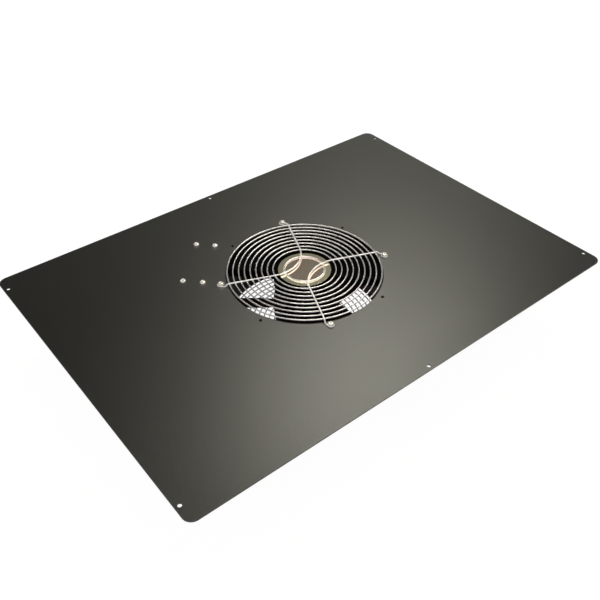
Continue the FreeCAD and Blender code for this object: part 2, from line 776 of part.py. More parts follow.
def support_arm(side):
    """One arm of a support wire, from its long bend out to the end of its eyelet.

    The wire is symmetric about X. The arm runs beside the line from the middle to
    its bolt hole, drops past the outer ring and wraps round the screw.
    """
    along = Vector(1, side, 0).normalize()
    outward = Vector(-1, side, 0).normalize()
    offset = size("support_offset")
    high = size("plate_thickness") + size("ring_height") + size("wire_diameter")
    low = size("plate_thickness") + size("wire_diameter") / 2
    bolt = size("bolt_circle") / 2
    landing = bolt - size("support_foot_inset")
    edge = landing - size("support_landing")
    eyelet = size("eyelet_radius")

    def point(distance, across, height):
        return along * distance + outward * across + UP * height

    start = point(size("support_bend_radius") - offset, offset, high)
    shoulder = point(edge, offset, high)
    foot = point(landing, offset, low)
    to_screw = math.hypot(bolt - landing, offset)
    heading = math.atan2(-offset, bolt - landing) + math.asin(eyelet / to_screw)
    run = math.sqrt(to_screw ** 2 - eyelet ** 2)
    touch = point(landing + run * math.cos(heading), offset + run * math.sin(heading), low)
    wrap = 2 * math.pi - math.radians(size("eyelet_gap"))

    def round_screw(turn):
        angle = heading + math.pi / 2 - turn
        return point(bolt + eyelet * math.cos(angle), eyelet * math.sin(angle), low)

    corner = size("support_corner_radius")
    first = bend(start, shoulder, foot, corner)
    second = bend(shoulder, foot, touch, corner)
    return [Part.LineSegment(start, first[0]).toShape(), Part.Arc(*first).toShape(),
            Part.LineSegment(first[2], second[0]).toShape(), Part.Arc(*second).toShape(),
            Part.LineSegment(second[2], touch).toShape(),
            Part.Arc(touch, round_screw(wrap / 2), round_screw(wrap)).toShape()]


def support_wire():
    """A support wire: a round section carried along two arms and the long bend."""
    arms = [support_arm(1), support_arm(-1)]
    starts = [arm[0].firstVertex().Point for arm in arms]
    crossing = -size("support_offset") * math.sqrt(2)
    bend_radius = size("support_bend_radius")
    nearest = Vector(crossing + bend_radius * (math.sqrt(2) - 1), 0, starts[0].z)
    long_bend = Part.Arc(starts[0], nearest, starts[1]).toShape()
    path = Part.Wire(Part.__sortEdges__(arms[0] + [long_bend] + arms[1]))
    edge = path.OrderedEdges[0]
    begin = edge.FirstParameter if edge.Orientation == "Forward" else edge.LastParameter
    section = Part.Circle(edge.valueAt(begin), edge.tangentAt(begin), size("wire_diameter") / 2)
    return path.makePipeShell([Part.Wire(section.toShape())], True, False)


def make_guards():
    """Two welded wire guards, one on the panel and one on the fan's lower face."""
    rings = []
    pitch = "(%s - outer_ring_inset - ring_radius) / (ring_count - 1)" % BOLT_RADIUS
    radii = ["inner_ring_radius"] + ["ring_radius + %s * %d" % (pitch, step)
                                     for step in range(int(size("ring_count")))]
    for radius in radii:
        ring = doc.addObject("Part::Torus", "ring")
        rings.append(bind(ring, Radius1=radius, Radius2="wire_diameter / 2", place_z=RING_LEVEL))
    disc = cylinder("disc_diameter / 2", "disc_thickness",
                    z=RING_LEVEL + " - wire_diameter / 2 - disc_thickness")
    wire = doc.addObject("Part::Feature", "support_wire")
    wire.Shape = support_wire()
    wire.Placement = FreeCAD.Placement(Vector(), FreeCAD.Rotation(UP, 1.0))
    bind(wire, turn="%s + %r" % (SCREWED_HOLE_ANGLE, 180 / ARM_COUNT))
    pieces = {"guard_rings": group(*rings), "guard_disc": disc,
              "guard_wire_a": wire, "guard_wire_b": moved(wire, turn="180")}
    for name, piece in pieces.items():
        node(piece, "upper_" + name)
        node(on_lower_face(piece), "lower_" + name)
    clamped = "wire_diameter + flange_thickness + nut_height + screw_end"
    above = "plate_thickness + wire_diameter"
    node(at_screwed_holes(screw("plate_thickness + " + clamped), above), "upper_guard_screws")
    node(at_screwed_holes(nut(), "-flange_thickness"), "upper_guard_nuts")
    node(on_lower_face(at_screwed_holes(screw(clamped), above)), "lower_guard_screws")
    node(on_lower_face(at_screwed_holes(nut(), "plate_thickness - flange_thickness")),
         "lower_guard_nuts")


# ---------------------------------------------------------------- connection box

def make_box():
    """A folded steel box under the panel, with its cover and all their screws."""
    body = new_body("box_shell")
    near = BOX_DISTANCE + " - box_width / 2"
    far = BOX_DISTANCE + " + box_width / 2"
    end = "box_length / 2"
    depth = "box_depth - box_wall"
    outline = new_sketch(body, "XY_Plane")
    draw_rectangle(outline, near, "-" + end, far, end)
    pad(body, outline, depth, downwards=True)
    hollow = new_sketch(body, "XY_Plane", height="-box_wall")
    draw_rectangle(hollow, near + " + box_wall", "box_wall - " + end,
                   far + " - box_wall", end + " - box_wall")
    cut_to(body, hollow, depth)
    for side in ("", "-"):
        tab = new_sketch(body, "XY_Plane", height="box_wall - box_depth")
        draw_rectangle(tab, BOX_DISTANCE + " - cover_tab",
                       side + "(box_length / 2 - box_wall - cover_tab)",
                       BOX_DISTANCE + " + cover_tab", side + "(box_length / 2 - box_wall / 2)")
        pad(body, tab, "box_wall")
    holes = new_sketch(body, "XY_Plane")
    draw_box_holes(holes)
    for side in ("", "-"):
        draw_circle(holes, BOX_DISTANCE, side + COVER_SCREW_ALONG, "cover_screw_diameter")
    cut_through(body, holes)
    patch = "box_wall * 3"  # the cutters run a wall's thickness past the wall each way
    gland_hole = lying_cylinder("gland_thread / 2", patch, BOX_DISTANCE,
                                end + " - box_wall * 2", GLAND_LEVEL, Vector(0, 1, 0))
    lead_hole = lying_cylinder("bushing_neck / 2", patch, near + " - box_wall", "0",
                               GLAND_LEVEL, Vector(1, 0, 0))
    node(moved(cut(body, fuse(gland_hole, lead_hole)), turn="box_angle"), "box_body")

    cover = new_body("cover_sheet")
    outline = new_sketch(cover, "XY_Plane", height="-box_depth")
    draw_rectangle(outline, near, "-" + end, far, end)
    pad(cover, outline, "box_wall")
    holes = new_sketch(cover, "XY_Plane")
    for side in ("", "-"):
        draw_circle(holes, BOX_DISTANCE, side + COVER_SCREW_ALONG, "cover_screw_diameter")
    cut_through(cover, holes)
    node(moved(cover, turn="box_angle"), "box_cover")

    cover_screw = screw("box_wall * 2 + screw_end", "cover_screw_diameter",
                        "cover_head_diameter", "cover_head_height", "cover_head_round")
    node(moved(group(*[turned_over(cover_screw, x=BOX_DISTANCE, y=side + COVER_SCREW_ALONG,
                                   z="-box_depth") for side in ("", "-")]), turn="box_angle"),
         "cover_screws")
    long_enough = "plate_thickness + box_wall + nut_height + screw_end"
    node(at_box_holes(screw(long_enough), "plate_thickness"), "box_screws")
    node(at_box_holes(nut(), "-box_wall"), "box_nuts")


def through_end_wall(thing):
    """A piece turned about Z, laid on the axis of the gland with z = 0 at the wall's face."""
    laid = group(thing)
    laid.Placement = FreeCAD.Placement(Vector(), FreeCAD.Rotation(Vector(1, 0, 0), -90))
    bind(laid, place_x=BOX_DISTANCE, place_y="box_length / 2", place_z=GLAND_LEVEL)
    return moved(laid, turn="box_angle")


def make_gland():
    """The gland that a supply cord goes through, its cap and its locknut."""
    inside = "-box_wall - gland_nut_thickness - gland_thread_end"
    neck = "gland_shoulder_length + gland_neck_length"
    neck_radius = "gland_thread / 2 - gland_neck_step"
    bore = "gland_bore / 2"
    node(through_end_wall(turned("gland_tube", [
        (bore, inside), ("gland_thread / 2", inside), ("gland_thread / 2", "0"),
        ("gland_shoulder / 2", "0"), ("gland_shoulder / 2", "gland_shoulder_length"),
        (neck_radius, "gland_shoulder_length"), (neck_radius, neck), (bore, neck)])),
        "cord_gland")
    cap_end = "gland_shoulder_length + gland_cap_length"
    rim = "gland_cap_diameter / 2"
    node(through_end_wall(turned("gland_dome", [
        (neck_radius, "gland_shoulder_length"), (rim, "gland_shoulder_length"), (rim, neck),
        (rim + " - gland_cap_taper", cap_end), (bore, cap_end), (bore, neck),
        (neck_radius, neck)])),
        "gland_cap")
    hexagon = doc.addObject("Part::Prism", "hexagon")
    hexagon.Polygon = 6
    bind(hexagon, Circumradius="gland_nut_corner_radius", Height="gland_nut_thickness",
         place_z="-box_wall - gland_nut_thickness")
    bored = cut(hexagon, cylinder("gland_thread / 2", "gland_nut_thickness",
                                  z="-box_wall - gland_nut_thickness"))
    node(through_end_wall(bored), "gland_locknut")


def make_lead_bushing():
    """A snap bushing in the wall that faces the fan, for the fan's leads."""
    bushing = turned("bushing_ring", [
        ("bushing_bore / 2", "-bushing_flange_thickness"),
        ("bushing_flange / 2", "-bushing_flange_thickness"), ("bushing_flange / 2", "0"),
        ("bushing_neck / 2", "0"), ("bushing_neck / 2", "bushing_neck_length"),
        ("bushing_bore / 2", "bushing_neck_length")])
    laid = group(bushing)
    laid.Placement = FreeCAD.Placement(Vector(), FreeCAD.Rotation(Vector(0, 1, 0), 90))
    bind(laid, place_x=BOX_DISTANCE + " - box_width / 2", place_z=GLAND_LEVEL)
    node(moved(laid, turn="box_angle"), "lead_bushing")


def make_terminal_strip():
    """The strip under the box's top wall where cord and leads meet."""
    under = "-box_wall - strip_height"
    base = box("strip_width", "strip_length", "strip_height", x=BOX_DISTANCE, z=under)
    node(moved(base, turn="box_angle"), "terminal_strip")
    clamps = []
    heads = []
    count = int(size("pole_count"))
    for pole in range(count):
        y = "pole_spacing * %r" % (pole - (count - 1) / 2)
        clamps.append(box("clamp_length", "clamp_width", "clamp_height", x=BOX_DISTANCE,
                          y=y, z=under + " - clamp_height"))
        heads.append(cylinder("clamp_screw_diameter / 2", "clamp_screw_height", x=BOX_DISTANCE,
                              y=y, z=under + " - clamp_height - clamp_screw_height"))
    node(moved(group(*clamps), turn="box_angle"), "strip_clamps")
    node(moved(group(*heads), turn="box_angle"), "strip_screws")


# ---------------------------------------------------------------- build and export

def check_document():
    """Stop if any object failed to compute or any piece is not sound."""
    for thing in doc.Objects:
        if "Invalid" in thing.State or "Error" in thing.State:
            raise RuntimeError("%s (%s) is %s" % (thing.Label, thing.TypeId, thing.State))
    for piece in nodes:
        shape = piece.Shape
        if shape.isNull() or not shape.isValid() or not shape.Solids:
            raise RuntimeError(piece.Label + " has no sound solid")


def main():
    make_top_plate()
    make_fan_housing()
    make_motor_mount()
    make_terminal_block()
    make_bearings()
    make_stator()
    make_rotor()
    make_impeller()
    make_guards()
    make_box()
    make_gland()
    make_lead_bushing()
    make_terminal_strip()
    doc.recompute()
    check_document()
    os.makedirs("parts", exist_ok=True)
    for piece in nodes:
        piece.Shape.exportStep(os.path.join("parts", piece.Label + ".step"))
        print("%-22s %2d solids %12.1f mm3" % (piece.Label, len(piece.Shape.Solids),
                                               piece.Shape.Volume))


main()
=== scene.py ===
"""Rack fan tray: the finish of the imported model, laid out as a Blender add-on.

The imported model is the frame. This file adds surfaces worked out with numpy for the wire
guards, screws, nuts and impeller, rolls the sharp edges of the sheet, cast and moulded
pieces, and gives every piece a procedural material. Lengths are metres in the frame's own
axes: the origin is on the panel's underside and +Z points out of the rack.
"""

import math

import bmesh
import bpy
import numpy as np
from bpy.props import FloatProperty, FloatVectorProperty, IntProperty, PointerProperty
from mathutils import Matrix, Vector


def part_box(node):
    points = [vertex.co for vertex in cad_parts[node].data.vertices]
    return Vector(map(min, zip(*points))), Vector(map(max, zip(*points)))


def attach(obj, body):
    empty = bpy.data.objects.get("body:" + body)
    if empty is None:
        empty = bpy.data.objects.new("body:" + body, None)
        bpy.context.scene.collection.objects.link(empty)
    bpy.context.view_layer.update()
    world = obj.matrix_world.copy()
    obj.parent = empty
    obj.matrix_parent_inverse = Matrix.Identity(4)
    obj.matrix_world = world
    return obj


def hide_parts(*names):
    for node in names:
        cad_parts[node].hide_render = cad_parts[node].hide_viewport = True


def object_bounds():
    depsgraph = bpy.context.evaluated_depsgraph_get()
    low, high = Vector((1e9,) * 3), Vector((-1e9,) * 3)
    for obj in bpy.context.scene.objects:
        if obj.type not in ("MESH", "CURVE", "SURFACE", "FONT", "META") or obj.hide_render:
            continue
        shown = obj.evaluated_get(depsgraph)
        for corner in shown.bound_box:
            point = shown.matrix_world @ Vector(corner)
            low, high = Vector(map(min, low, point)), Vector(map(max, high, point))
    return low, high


bl_info = {
    "name": "Rack Fan Tray",
    "version": (1, 0, 0),
    "blender": (4, 5, 0),
    "location": "3D View > Sidebar > Fan Tray",
    "description": "Dresses the packed model of a rack fan tray piece by piece",
    "category": "Object",
}

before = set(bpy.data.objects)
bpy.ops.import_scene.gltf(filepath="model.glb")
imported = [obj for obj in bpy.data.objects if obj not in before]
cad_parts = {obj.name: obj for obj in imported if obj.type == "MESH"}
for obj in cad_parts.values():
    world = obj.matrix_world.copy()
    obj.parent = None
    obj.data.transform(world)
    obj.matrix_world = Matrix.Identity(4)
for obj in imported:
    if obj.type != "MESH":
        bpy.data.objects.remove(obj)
BARE_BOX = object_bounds()

MM = 0.001
TURN = 2 * math.pi
FIXED_BODY = "tray"
SPINNING_BODY = "rotor"
GUARD_LEVELS = ("upper", "lower")
ARM_COUNT = 4
# Radians: the seams' place, and the turn of each screw or nut from the last
SEAM_TURN = 0.3
FIRST_SCREW_TURN = 0.5
SCREW_TURN = 1.7
NUT_TURN = 0.4
WIRE_SIDES = 12
CORNER_STEPS = 5
SHARP_ANGLE = math.radians(35)
FLAT_ANGLE = math.radians(0.3)
SAME_PLACE = 0.005 * MM
PANEL_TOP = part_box("top_plate")[1].z
FAN_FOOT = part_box("fan_housing")[0].z
WIRE_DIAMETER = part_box("upper_guard_rings")[1].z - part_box("upper_guard_rings")[0].z
RING_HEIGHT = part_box("upper_guard_rings")[1].z - WIRE_DIAMETER / 2 - PANEL_TOP
OUTER_RING_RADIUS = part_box("upper_guard_rings")[1].x - WIRE_DIAMETER / 2


# ---------- sizes and colours

def length(name, description, default):
    return FloatProperty(name=name, description=description, default=default,
                         min=0.0, unit="LENGTH", precision=5)


def angle(name, description, degrees):
    return FloatProperty(name=name, description=description,
                         default=math.radians(degrees), unit="ROTATION")


def amount(name, description, default, **limits):
    return FloatProperty(name=name, description=description, default=default, min=0.0, **limits)


def colour(name, description, *default):
    return FloatVectorProperty(name=name, description=description, default=default,
                               size=3, min=0.0, max=1.0, subtype="COLOR")


class GuardSizes(bpy.types.PropertyGroup):
    """The wire guards, measured from the face that each one is screwed to."""
    wire: length("Wire", "Diameter of the guard's wire", WIRE_DIAMETER)
    ring_height: length("Ring height", "Height of the ring wires' centres", RING_HEIGHT)
    outer_ring: length("Outer ring", "Radius of the largest ring", OUTER_RING_RADIUS)
    first_ring: length("First ring", "Radius of the smallest ring of the grille", 44.9 * MM)
    inner_ring: length("Inner ring", "Radius of the ring on the disc", 28.6 * MM)
    ring_count: IntProperty(name="Rings", description="Number of grille rings", default=9, min=2)
    bolt_radius: length("Bolt radius", "Radius of the circle of screws", 121.5 * MM)
    offset: length("Arm offset", "How far each arm runs beside its radius", 6.1 * MM)
    bend: length("Long bend", "Radius of the bend beside the disc", 52.0 * MM)
    foot_inset: length("Foot inset", "From the screw's axis back to the arm's foot", 4.8 * MM)
    slope: length("Slope", "Length over which an arm comes down to its face", 4.3 * MM)
    corner: length("Corner", "Radius of the arm's two small bends", 2.0 * MM)
    eyelet: length("Eyelet", "Radius of the wire's centre round a screw", 4.0 * MM)
    eyelet_gap: angle("Eyelet gap", "Part of the turn that an eyelet leaves open", 80.0)
    first_screw: angle("First screw", "Angle of the first screw about the fan", 67.5)
    rim_round: length("Rim round", "Radius of the disc's rolled rim", 0.1 * MM)
    dish: length("Dish", "Depth of the disc's pressed middle", 0.02 * MM)


class ScrewSizes(bpy.types.PropertyGroup):
    """Pan-head cross-recess screws and their hexagon nuts."""
    shank: length("Shank", "Diameter over the guard screws' threads", 4.17 * MM)
    head: length("Head", "Diameter of the head", 8.2 * MM)
    head_height: length("Head height", "Height of the domed head", 2.9 * MM)
    recess: length("Recess", "Length of the cross from end to end", 4.8 * MM)
    recess_width: length("Recess width", "Width of each slot of the cross", 1.15 * MM)
    recess_depth: length("Recess depth", "Depth of the cross in the middle", 2.2 * MM)
    pitch: length("Pitch", "Distance from one thread to the next", 0.8 * MM)
    nut_corner: length("Nut corner", "Radius to a corner of the nut", 4.9 * MM)


class FanSizes(bpy.types.PropertyGroup):
    """The impeller's blades and the rotor cup."""
    blade_count: IntProperty(name="Blades", description="Number of blades", default=5, min=2)
    blade_angle: angle("Blade angle", "Angle of the first blade about the fan", 68.7)
    rise: amount("Rise", "Metres of climb per radian of turn", 0.024)
    camber: length("Camber", "Height of a blade's bow over its chord", 1.5 * MM)
    thickness: length("Thickness", "Blade thickness at its middle", 1.6 * MM)
    root_chord: length("Root chord", "Chord of a blade where it leaves the band", 46.0 * MM)
    chord_taper: amount("Taper", "Loss of chord per metre of reach", 0.2755)
    barrel: length("Barrel", "Outer radius of the housing's barrel", 112.5 * MM)
    cup_round: length("Cup round", "Radius of the rotor cup's rolled corners", 1.0 * MM)


class FinishColours(bpy.types.PropertyGroup):
    """The colours of the coats, platings and plastics."""
    panel: colour("Panel", "Powder coat of the sheet pieces", 0.004, 0.0035, 0.003)
    casting: colour("Casting", "Paint of the fan's housing and rotor", 0.0015, 0.0015, 0.0015)
    moulding: colour("Moulding", "Black plastic", 0.009, 0.005, 0.003)
    chrome: colour("Chrome", "Bright plating of the wires", 0.65, 0.63, 0.64)
    disc: colour("Disc", "Satin plating of the discs", 0.86, 0.8, 0.645)
    nickel: colour("Nickel", "Plating of the screws", 0.84, 0.81, 0.76)
    zinc: colour("Zinc", "Plating of nuts and small parts", 0.56, 0.57, 0.58)
    steel: colour("Steel", "Ground and turned steel", 0.6, 0.6, 0.59)
    copper: colour("Copper", "Varnished winding wire", 0.62, 0.27, 0.11)
    brass: colour("Brass", "Terminals", 0.72, 0.56, 0.27)
    ivory: colour("Ivory", "Insulating plastic", 0.72, 0.68, 0.56)
    floor: colour("Floor", "The plain floor", 0.9, 0.9, 0.9)


class StageSizes(bpy.types.PropertyGroup):
    """The camera, the lamps, the surroundings and the floor."""
    lens: amount("Lens", "Focal length in millimetres", 44.888, subtype="DISTANCE_CAMERA")
    camera: FloatVectorProperty(name="Camera", description="Where the camera stands",
                                default=(-0.53111, -0.65195, 0.66014), size=3, unit="LENGTH")
    tilt: angle("Tilt", "Camera's turn up from straight down", 49.682)
    roll: angle("Roll", "Camera's turn about its own line of sight", -0.0387)
    heading: angle("Heading", "Camera's turn about the vertical", -38.6935)
    front_power: amount("Front", "Power of the front lamp in watts", 6.0)
    side_power: amount("Side", "Power of the side lamp in watts", 3.0)
    lamp_size: length("Lamp size", "Diameter of each soft lamp", 1.6)
    sky: amount("Sky", "Strength of the light from all round", 0.2)
    overhead: amount("Overhead", "Brightness of the ceiling in metal", 0.118, max=1.0)
    rear: amount("Rear", "Share of the ceiling's dimness away from the window", 0.62, max=1.0)
    repeated: amount("Repeated", "Brightness of the room where one reflection shows in another",
                     2.8)
    window: amount("Window", "Brightness of the soft window", 13.2)
    window_tint: colour("Window tint", "Colour of the window and the ceiling", 1.0, 0.98, 0.84)
    window_heading: angle("Window heading", "Which way the window's middle lies", 43.7)
    window_height: angle("Window height", "How high the window's middle stands", 48.2)
    window_reach: angle("Window reach", "From the window's middle to its faint edge", 9.5)
    window_core: angle("Window core", "From the window's middle to where it is brightest", 5.0)
    halo: amount("Halo", "Brightness of the glow round the window", 0.13)
    halo_reach: angle("Halo reach", "From the window's middle to the glow's edge", 25.0)
    fill: amount("Fill", "Brightness of the soft glow high on the left", 0.5)
    fill_heading: angle("Fill heading", "Which way the high glow's middle lies", 66.0)
    fill_height: angle("Fill height", "How high the high glow's middle stands", 66.0)
    fill_reach: angle("Fill reach", "From the high glow's middle to its edge", 22.0)
    shadow: amount("Shadow", "Share of the floor that takes shadow", 0.12, max=1.0)


class TraySettings(bpy.types.PropertyGroup):
    """All sizes and colours of the fan tray."""
    guard: PointerProperty(type=GuardSizes)
    screw: PointerProperty(type=ScrewSizes)
    fan: PointerProperty(type=FanSizes)
    colours: PointerProperty(type=FinishColours)
    stage: PointerProperty(type=StageSizes)


# ---------- surfaces

class Skin:
    """Points with the quads and triangles of one closed surface, or of several joined."""

    def __init__(self, points, quads, triangles=()):
        self.points = np.asarray(points, float).reshape(-1, 3)
        self.quads = np.asarray(quads, int).reshape(-1, 4)
        self.triangles = np.asarray(triangles, int).reshape(-1, 3)

    def __add__(self, other):
        shift = len(self.points)
        return Skin(np.vstack([self.points, other.points]),
                    np.vstack([self.quads, other.quads + shift]),
                    np.vstack([self.triangles, other.triangles + shift]))

    def placed(self, matrix):
        """Each point through a 4 by 4 matrix."""
        table = np.array(matrix)
        return Skin(self.points @ table[:3, :3].T + table[:3, 3], self.quads, self.triangles)

    def outward(self):
        """The faces turned over if the volume under them, the sum of a . (b x c), is negative."""
        corners = np.vstack([self.triangles, self.quads[:, :3], self.quads[:, [0, 2, 3]]])
        a, b, c = (self.points[corners[:, column]] for column in range(3))
        if np.einsum("ij,ij->", a, np.cross(b, c)) >= 0:
            return self
        return Skin(self.points, self.quads[:, ::-1], self.triangles[:, ::-1])


def joined(skins):
    return sum(skins[1:], skins[0])


def all_round(steps):
    """Angles that divide a turn evenly."""
    return np.arange(steps) * TURN / steps


def unit(vectors):
    return vectors / np.linalg.norm(vectors, axis=-1, keepdims=True)


def spun(radius, around, height):
    """Points (r cos t, r sin t, h), for numbers or arrays that fit each other."""
    radius, around, height = np.broadcast_arrays(radius, around, height)
    return np.stack([radius * np.cos(around), radius * np.sin(around), height], axis=-1)


def woven(points, wrap_rows=False):
    """The closed skin of a grid of points: neighbours in the grid share a quad.

    Each row is a closed ring. The last row is joined to the first where asked, and else both
    are capped with triangles round their middle point.
    """
    rows, columns = points.shape[:2]
    place = np.arange(rows * columns).reshape(rows, columns)
    walk = np.vstack([place, place[:1]]) if wrap_rows else place
    walk = np.hstack([walk, walk[:, :1]])
    quads = np.stack([walk[:-1, :-1], walk[1:, :-1], walk[1:, 1:], walk[:-1, 1:]], axis=-1)
    flat = points.reshape(-1, 3)
    if wrap_rows:
        return Skin(flat, quads).outward()
    middles = np.stack([points[0].mean(0), points[-1].mean(0)])
    first, last = place[0], place[-1]
    low = np.stack([first, np.roll(first, -1), np.full(columns, len(flat))], axis=-1)
    high = np.stack([np.roll(last, -1), last, np.full(columns, len(flat) + 1)], axis=-1)
    return Skin(np.vstack([flat, middles]), quads, np.vstack([low, high])).outward()


def lathe(profile, steps=96, closed=True):
    """A profile of (radius, height) pairs carried round Z: (r cos t, r sin t, h)."""
    radius, height = np.asarray(profile, float).T[:, :, None]
    return woven(spun(radius, all_round(steps), height), wrap_rows=closed)


def rounded(profile, radii):
    """A closed profile whose corners are replaced by arcs of the given radii.

    Each arc touches both sides of its corner at radius / tan(half the corner's angle), and
    its points are corner + reach * (in (1-s)^2 + out s^2): a parabola close to the circle.
    """
    corners = np.asarray(profile, float)
    before = np.roll(corners, 1, axis=0) - corners
    after = np.roll(corners, -1, axis=0) - corners
    before_length = np.linalg.norm(before, axis=1, keepdims=True)
    after_length = np.linalg.norm(after, axis=1, keepdims=True)
    before, after = before / before_length, after / after_length
    half = np.arccos(np.clip((before * after).sum(1, keepdims=True), -1, 1)) / 2
    reach = np.asarray(radii, float)[:, None] / np.tan(half)
    reach = np.minimum(reach, 0.49 * np.minimum(before_length, after_length))[:, None]
    share = np.linspace(0, 1, CORNER_STEPS)[:, None]
    points = corners[:, None] + reach * (before[:, None] * (1 - share) ** 2
                                         + after[:, None] * share ** 2)
    return points.reshape(-1, 2)


def swept(path, radius, closed=False):
    """A round section carried along a path: path + r (cos a side + sin a over).

    The side of each point is up x tangent and its over is tangent x side, so the path may
    lie at any slope but never upright. The radius is one number or one for each point.
    """
    if closed:
        tangent = np.roll(path, -1, axis=0) - np.roll(path, 1, axis=0)
    else:
        tangent = np.gradient(path, axis=0)
    tangent = unit(tangent)
    side = unit(np.cross((0.0, 0.0, 1.0), tangent))
    over = np.cross(tangent, side)
    around = all_round(WIRE_SIDES)[:, None]
    reach = np.broadcast_to(radius, len(path))[:, None, None]
    spokes = np.cos(around) * side[:, None] + np.sin(around) * over[:, None]
    return woven(path[:, None] + reach * spokes, wrap_rows=closed)


def swing(centre, first, last, steps):
    """Points of the arc from first to last about a centre, by spherical interpolation."""
    one, other = first - centre, last - centre
    both = np.linalg.norm(one) * np.linalg.norm(other)
    between = math.acos(np.clip(one @ other / both, -1, 1))
    share = np.linspace(0, 1, steps)[:, None]
    return centre + (np.sin((1 - share) * between) * one
                     + np.sin(share * between) * other) / math.sin(between)


# ---------- pieces

def put(name, data):
    """An object in the scene with this data."""
    thing = bpy.data.objects.new(name, data)
    bpy.context.scene.collection.objects.link(thing)
    return thing


def piece(name, skin, finish, slot, *stands_for, **others):
    """A mesh object at the origin, made of a skin."""
    mesh = bpy.data.meshes.new(name)
    mesh.from_pydata(skin.points.tolist(), [], skin.quads.tolist() + skin.triangles.tolist())
    mesh.validate()
    return kept(name, mesh, finish, slot, *stands_for, **others)


def kept(name, mesh, finish, slot, *stands_for, body=FIXED_BODY, sharp=SHARP_ANGLE):
    """Put a mesh in the scene, riding on its body and standing for some of the CAD nodes.

    It is shaded smooth, except where two faces meet at more than the sharp angle.
    """
    mesh.materials.clear()
    mesh.materials.append(finish)
    mesh.shade_smooth()
    mesh.set_sharp_from_angle(angle=sharp)
    thing = put(name, mesh)
    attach(thing, body)
    if stands_for:
        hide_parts(*stands_for)
    return thing


def softened(name, node, width, finish, slot, segments=2, body=FIXED_BODY):
    """A copy of a CAD node with its triangles merged and its sharp edges rolled over."""
    work = bmesh.new()
    work.from_mesh(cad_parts[node].data)
    bmesh.ops.remove_doubles(work, verts=work.verts, dist=SAME_PLACE)
    bmesh.ops.dissolve_limit(work, angle_limit=FLAT_ANGLE, verts=work.verts, edges=work.edges)
    mesh = bpy.data.meshes.new(name)
    work.to_mesh(mesh)
    work.free()
    if "custom_normal" in mesh.attributes:
        mesh.attributes.remove(mesh.attributes["custom_normal"])
    thing = kept(name, mesh, finish, slot, node, body=body)
    roll = thing.modifiers.new("Rolled edges", "BEVEL")
    roll.width = width
    roll.segments = segments
    roll.limit_method = "ANGLE"
    roll.angle_limit = SHARP_ANGLE
    flat_faces(thing)


def flat_faces(thing):
    """Let the large faces set the normals, so that the shading of flats stays flat."""
    flat = thing.modifiers.new("Flat faces", "WEIGHTED_NORMAL")
    flat.keep_sharp = False


def coat(finish, *nodes):
    """Give CAD nodes that keep their own shape a finish."""
    for name in nodes:
        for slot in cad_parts[name].material_slots:
            slot.material = finish


# ---------- finishes

class Value:
    """A socket of a material's tree. Python's arithmetic on it adds Math nodes."""

    def __init__(self, finish, socket):
        self.finish = finish
        self.socket = socket

    def math(self, operation, *others):
        values = dict(enumerate((self,) + others))
        return self.finish.node("ShaderNodeMath", {"operation": operation}, values)

    def __add__(self, other):
        return self.math("ADD", other)

    def __sub__(self, other):
        return self.math("SUBTRACT", other)

    def __rsub__(self, other):
        return (self * -1.0) + other

    def __mul__(self, other):
        return self.math("MULTIPLY", other)

    def __pow__(self, other):
        return self.math("POWER", other)

    __radd__ = __add__
    __rmul__ = __mul__

    def wave(self, period):
        """A wave between 0 and 1 that repeats after this length."""
        return (self * (TURN / period)).math("SINE") * 0.5 + 0.5

    def above(self, low, high):
        """0 below low, 1 above high, and a smooth step between them."""
        return self.finish.node("ShaderNodeMapRange", {"interpolation_type": "SMOOTHSTEP"},
                                {"Value": self, "From Min": low, "From Max": high})


class Web:
    """A node tree in the making, of a material or of the surroundings."""

    def __init__(self, tree):
        self.tree = tree

    def node(self, kind, settings=None, sockets=None, output=0):
        """One node: its settings first, then a value or a link for each of its sockets."""
        made = self.tree.nodes.new(kind)
        for name, value in (settings or {}).items():
            setattr(made, name, value)
        for name, value in (sockets or {}).items():
            if isinstance(value, Value):
                self.tree.links.new(value.socket, made.inputs[name])
            else:
                made.inputs[name].default_value = value
        return Value(self, made.outputs[output])

    def ray(self, kind):
        """1 for the rays of one kind, else 0."""
        return self.node("ShaderNodeLightPath", output="Is " + kind + " Ray")

    def blend(self, share, low, high):
        """A colour between two, by a share from 0 to 1."""
        return self.node("ShaderNodeMix", {"data_type": "RGBA"},
                         {0: share, 6: padded(low), 7: padded(high)}, output=2)


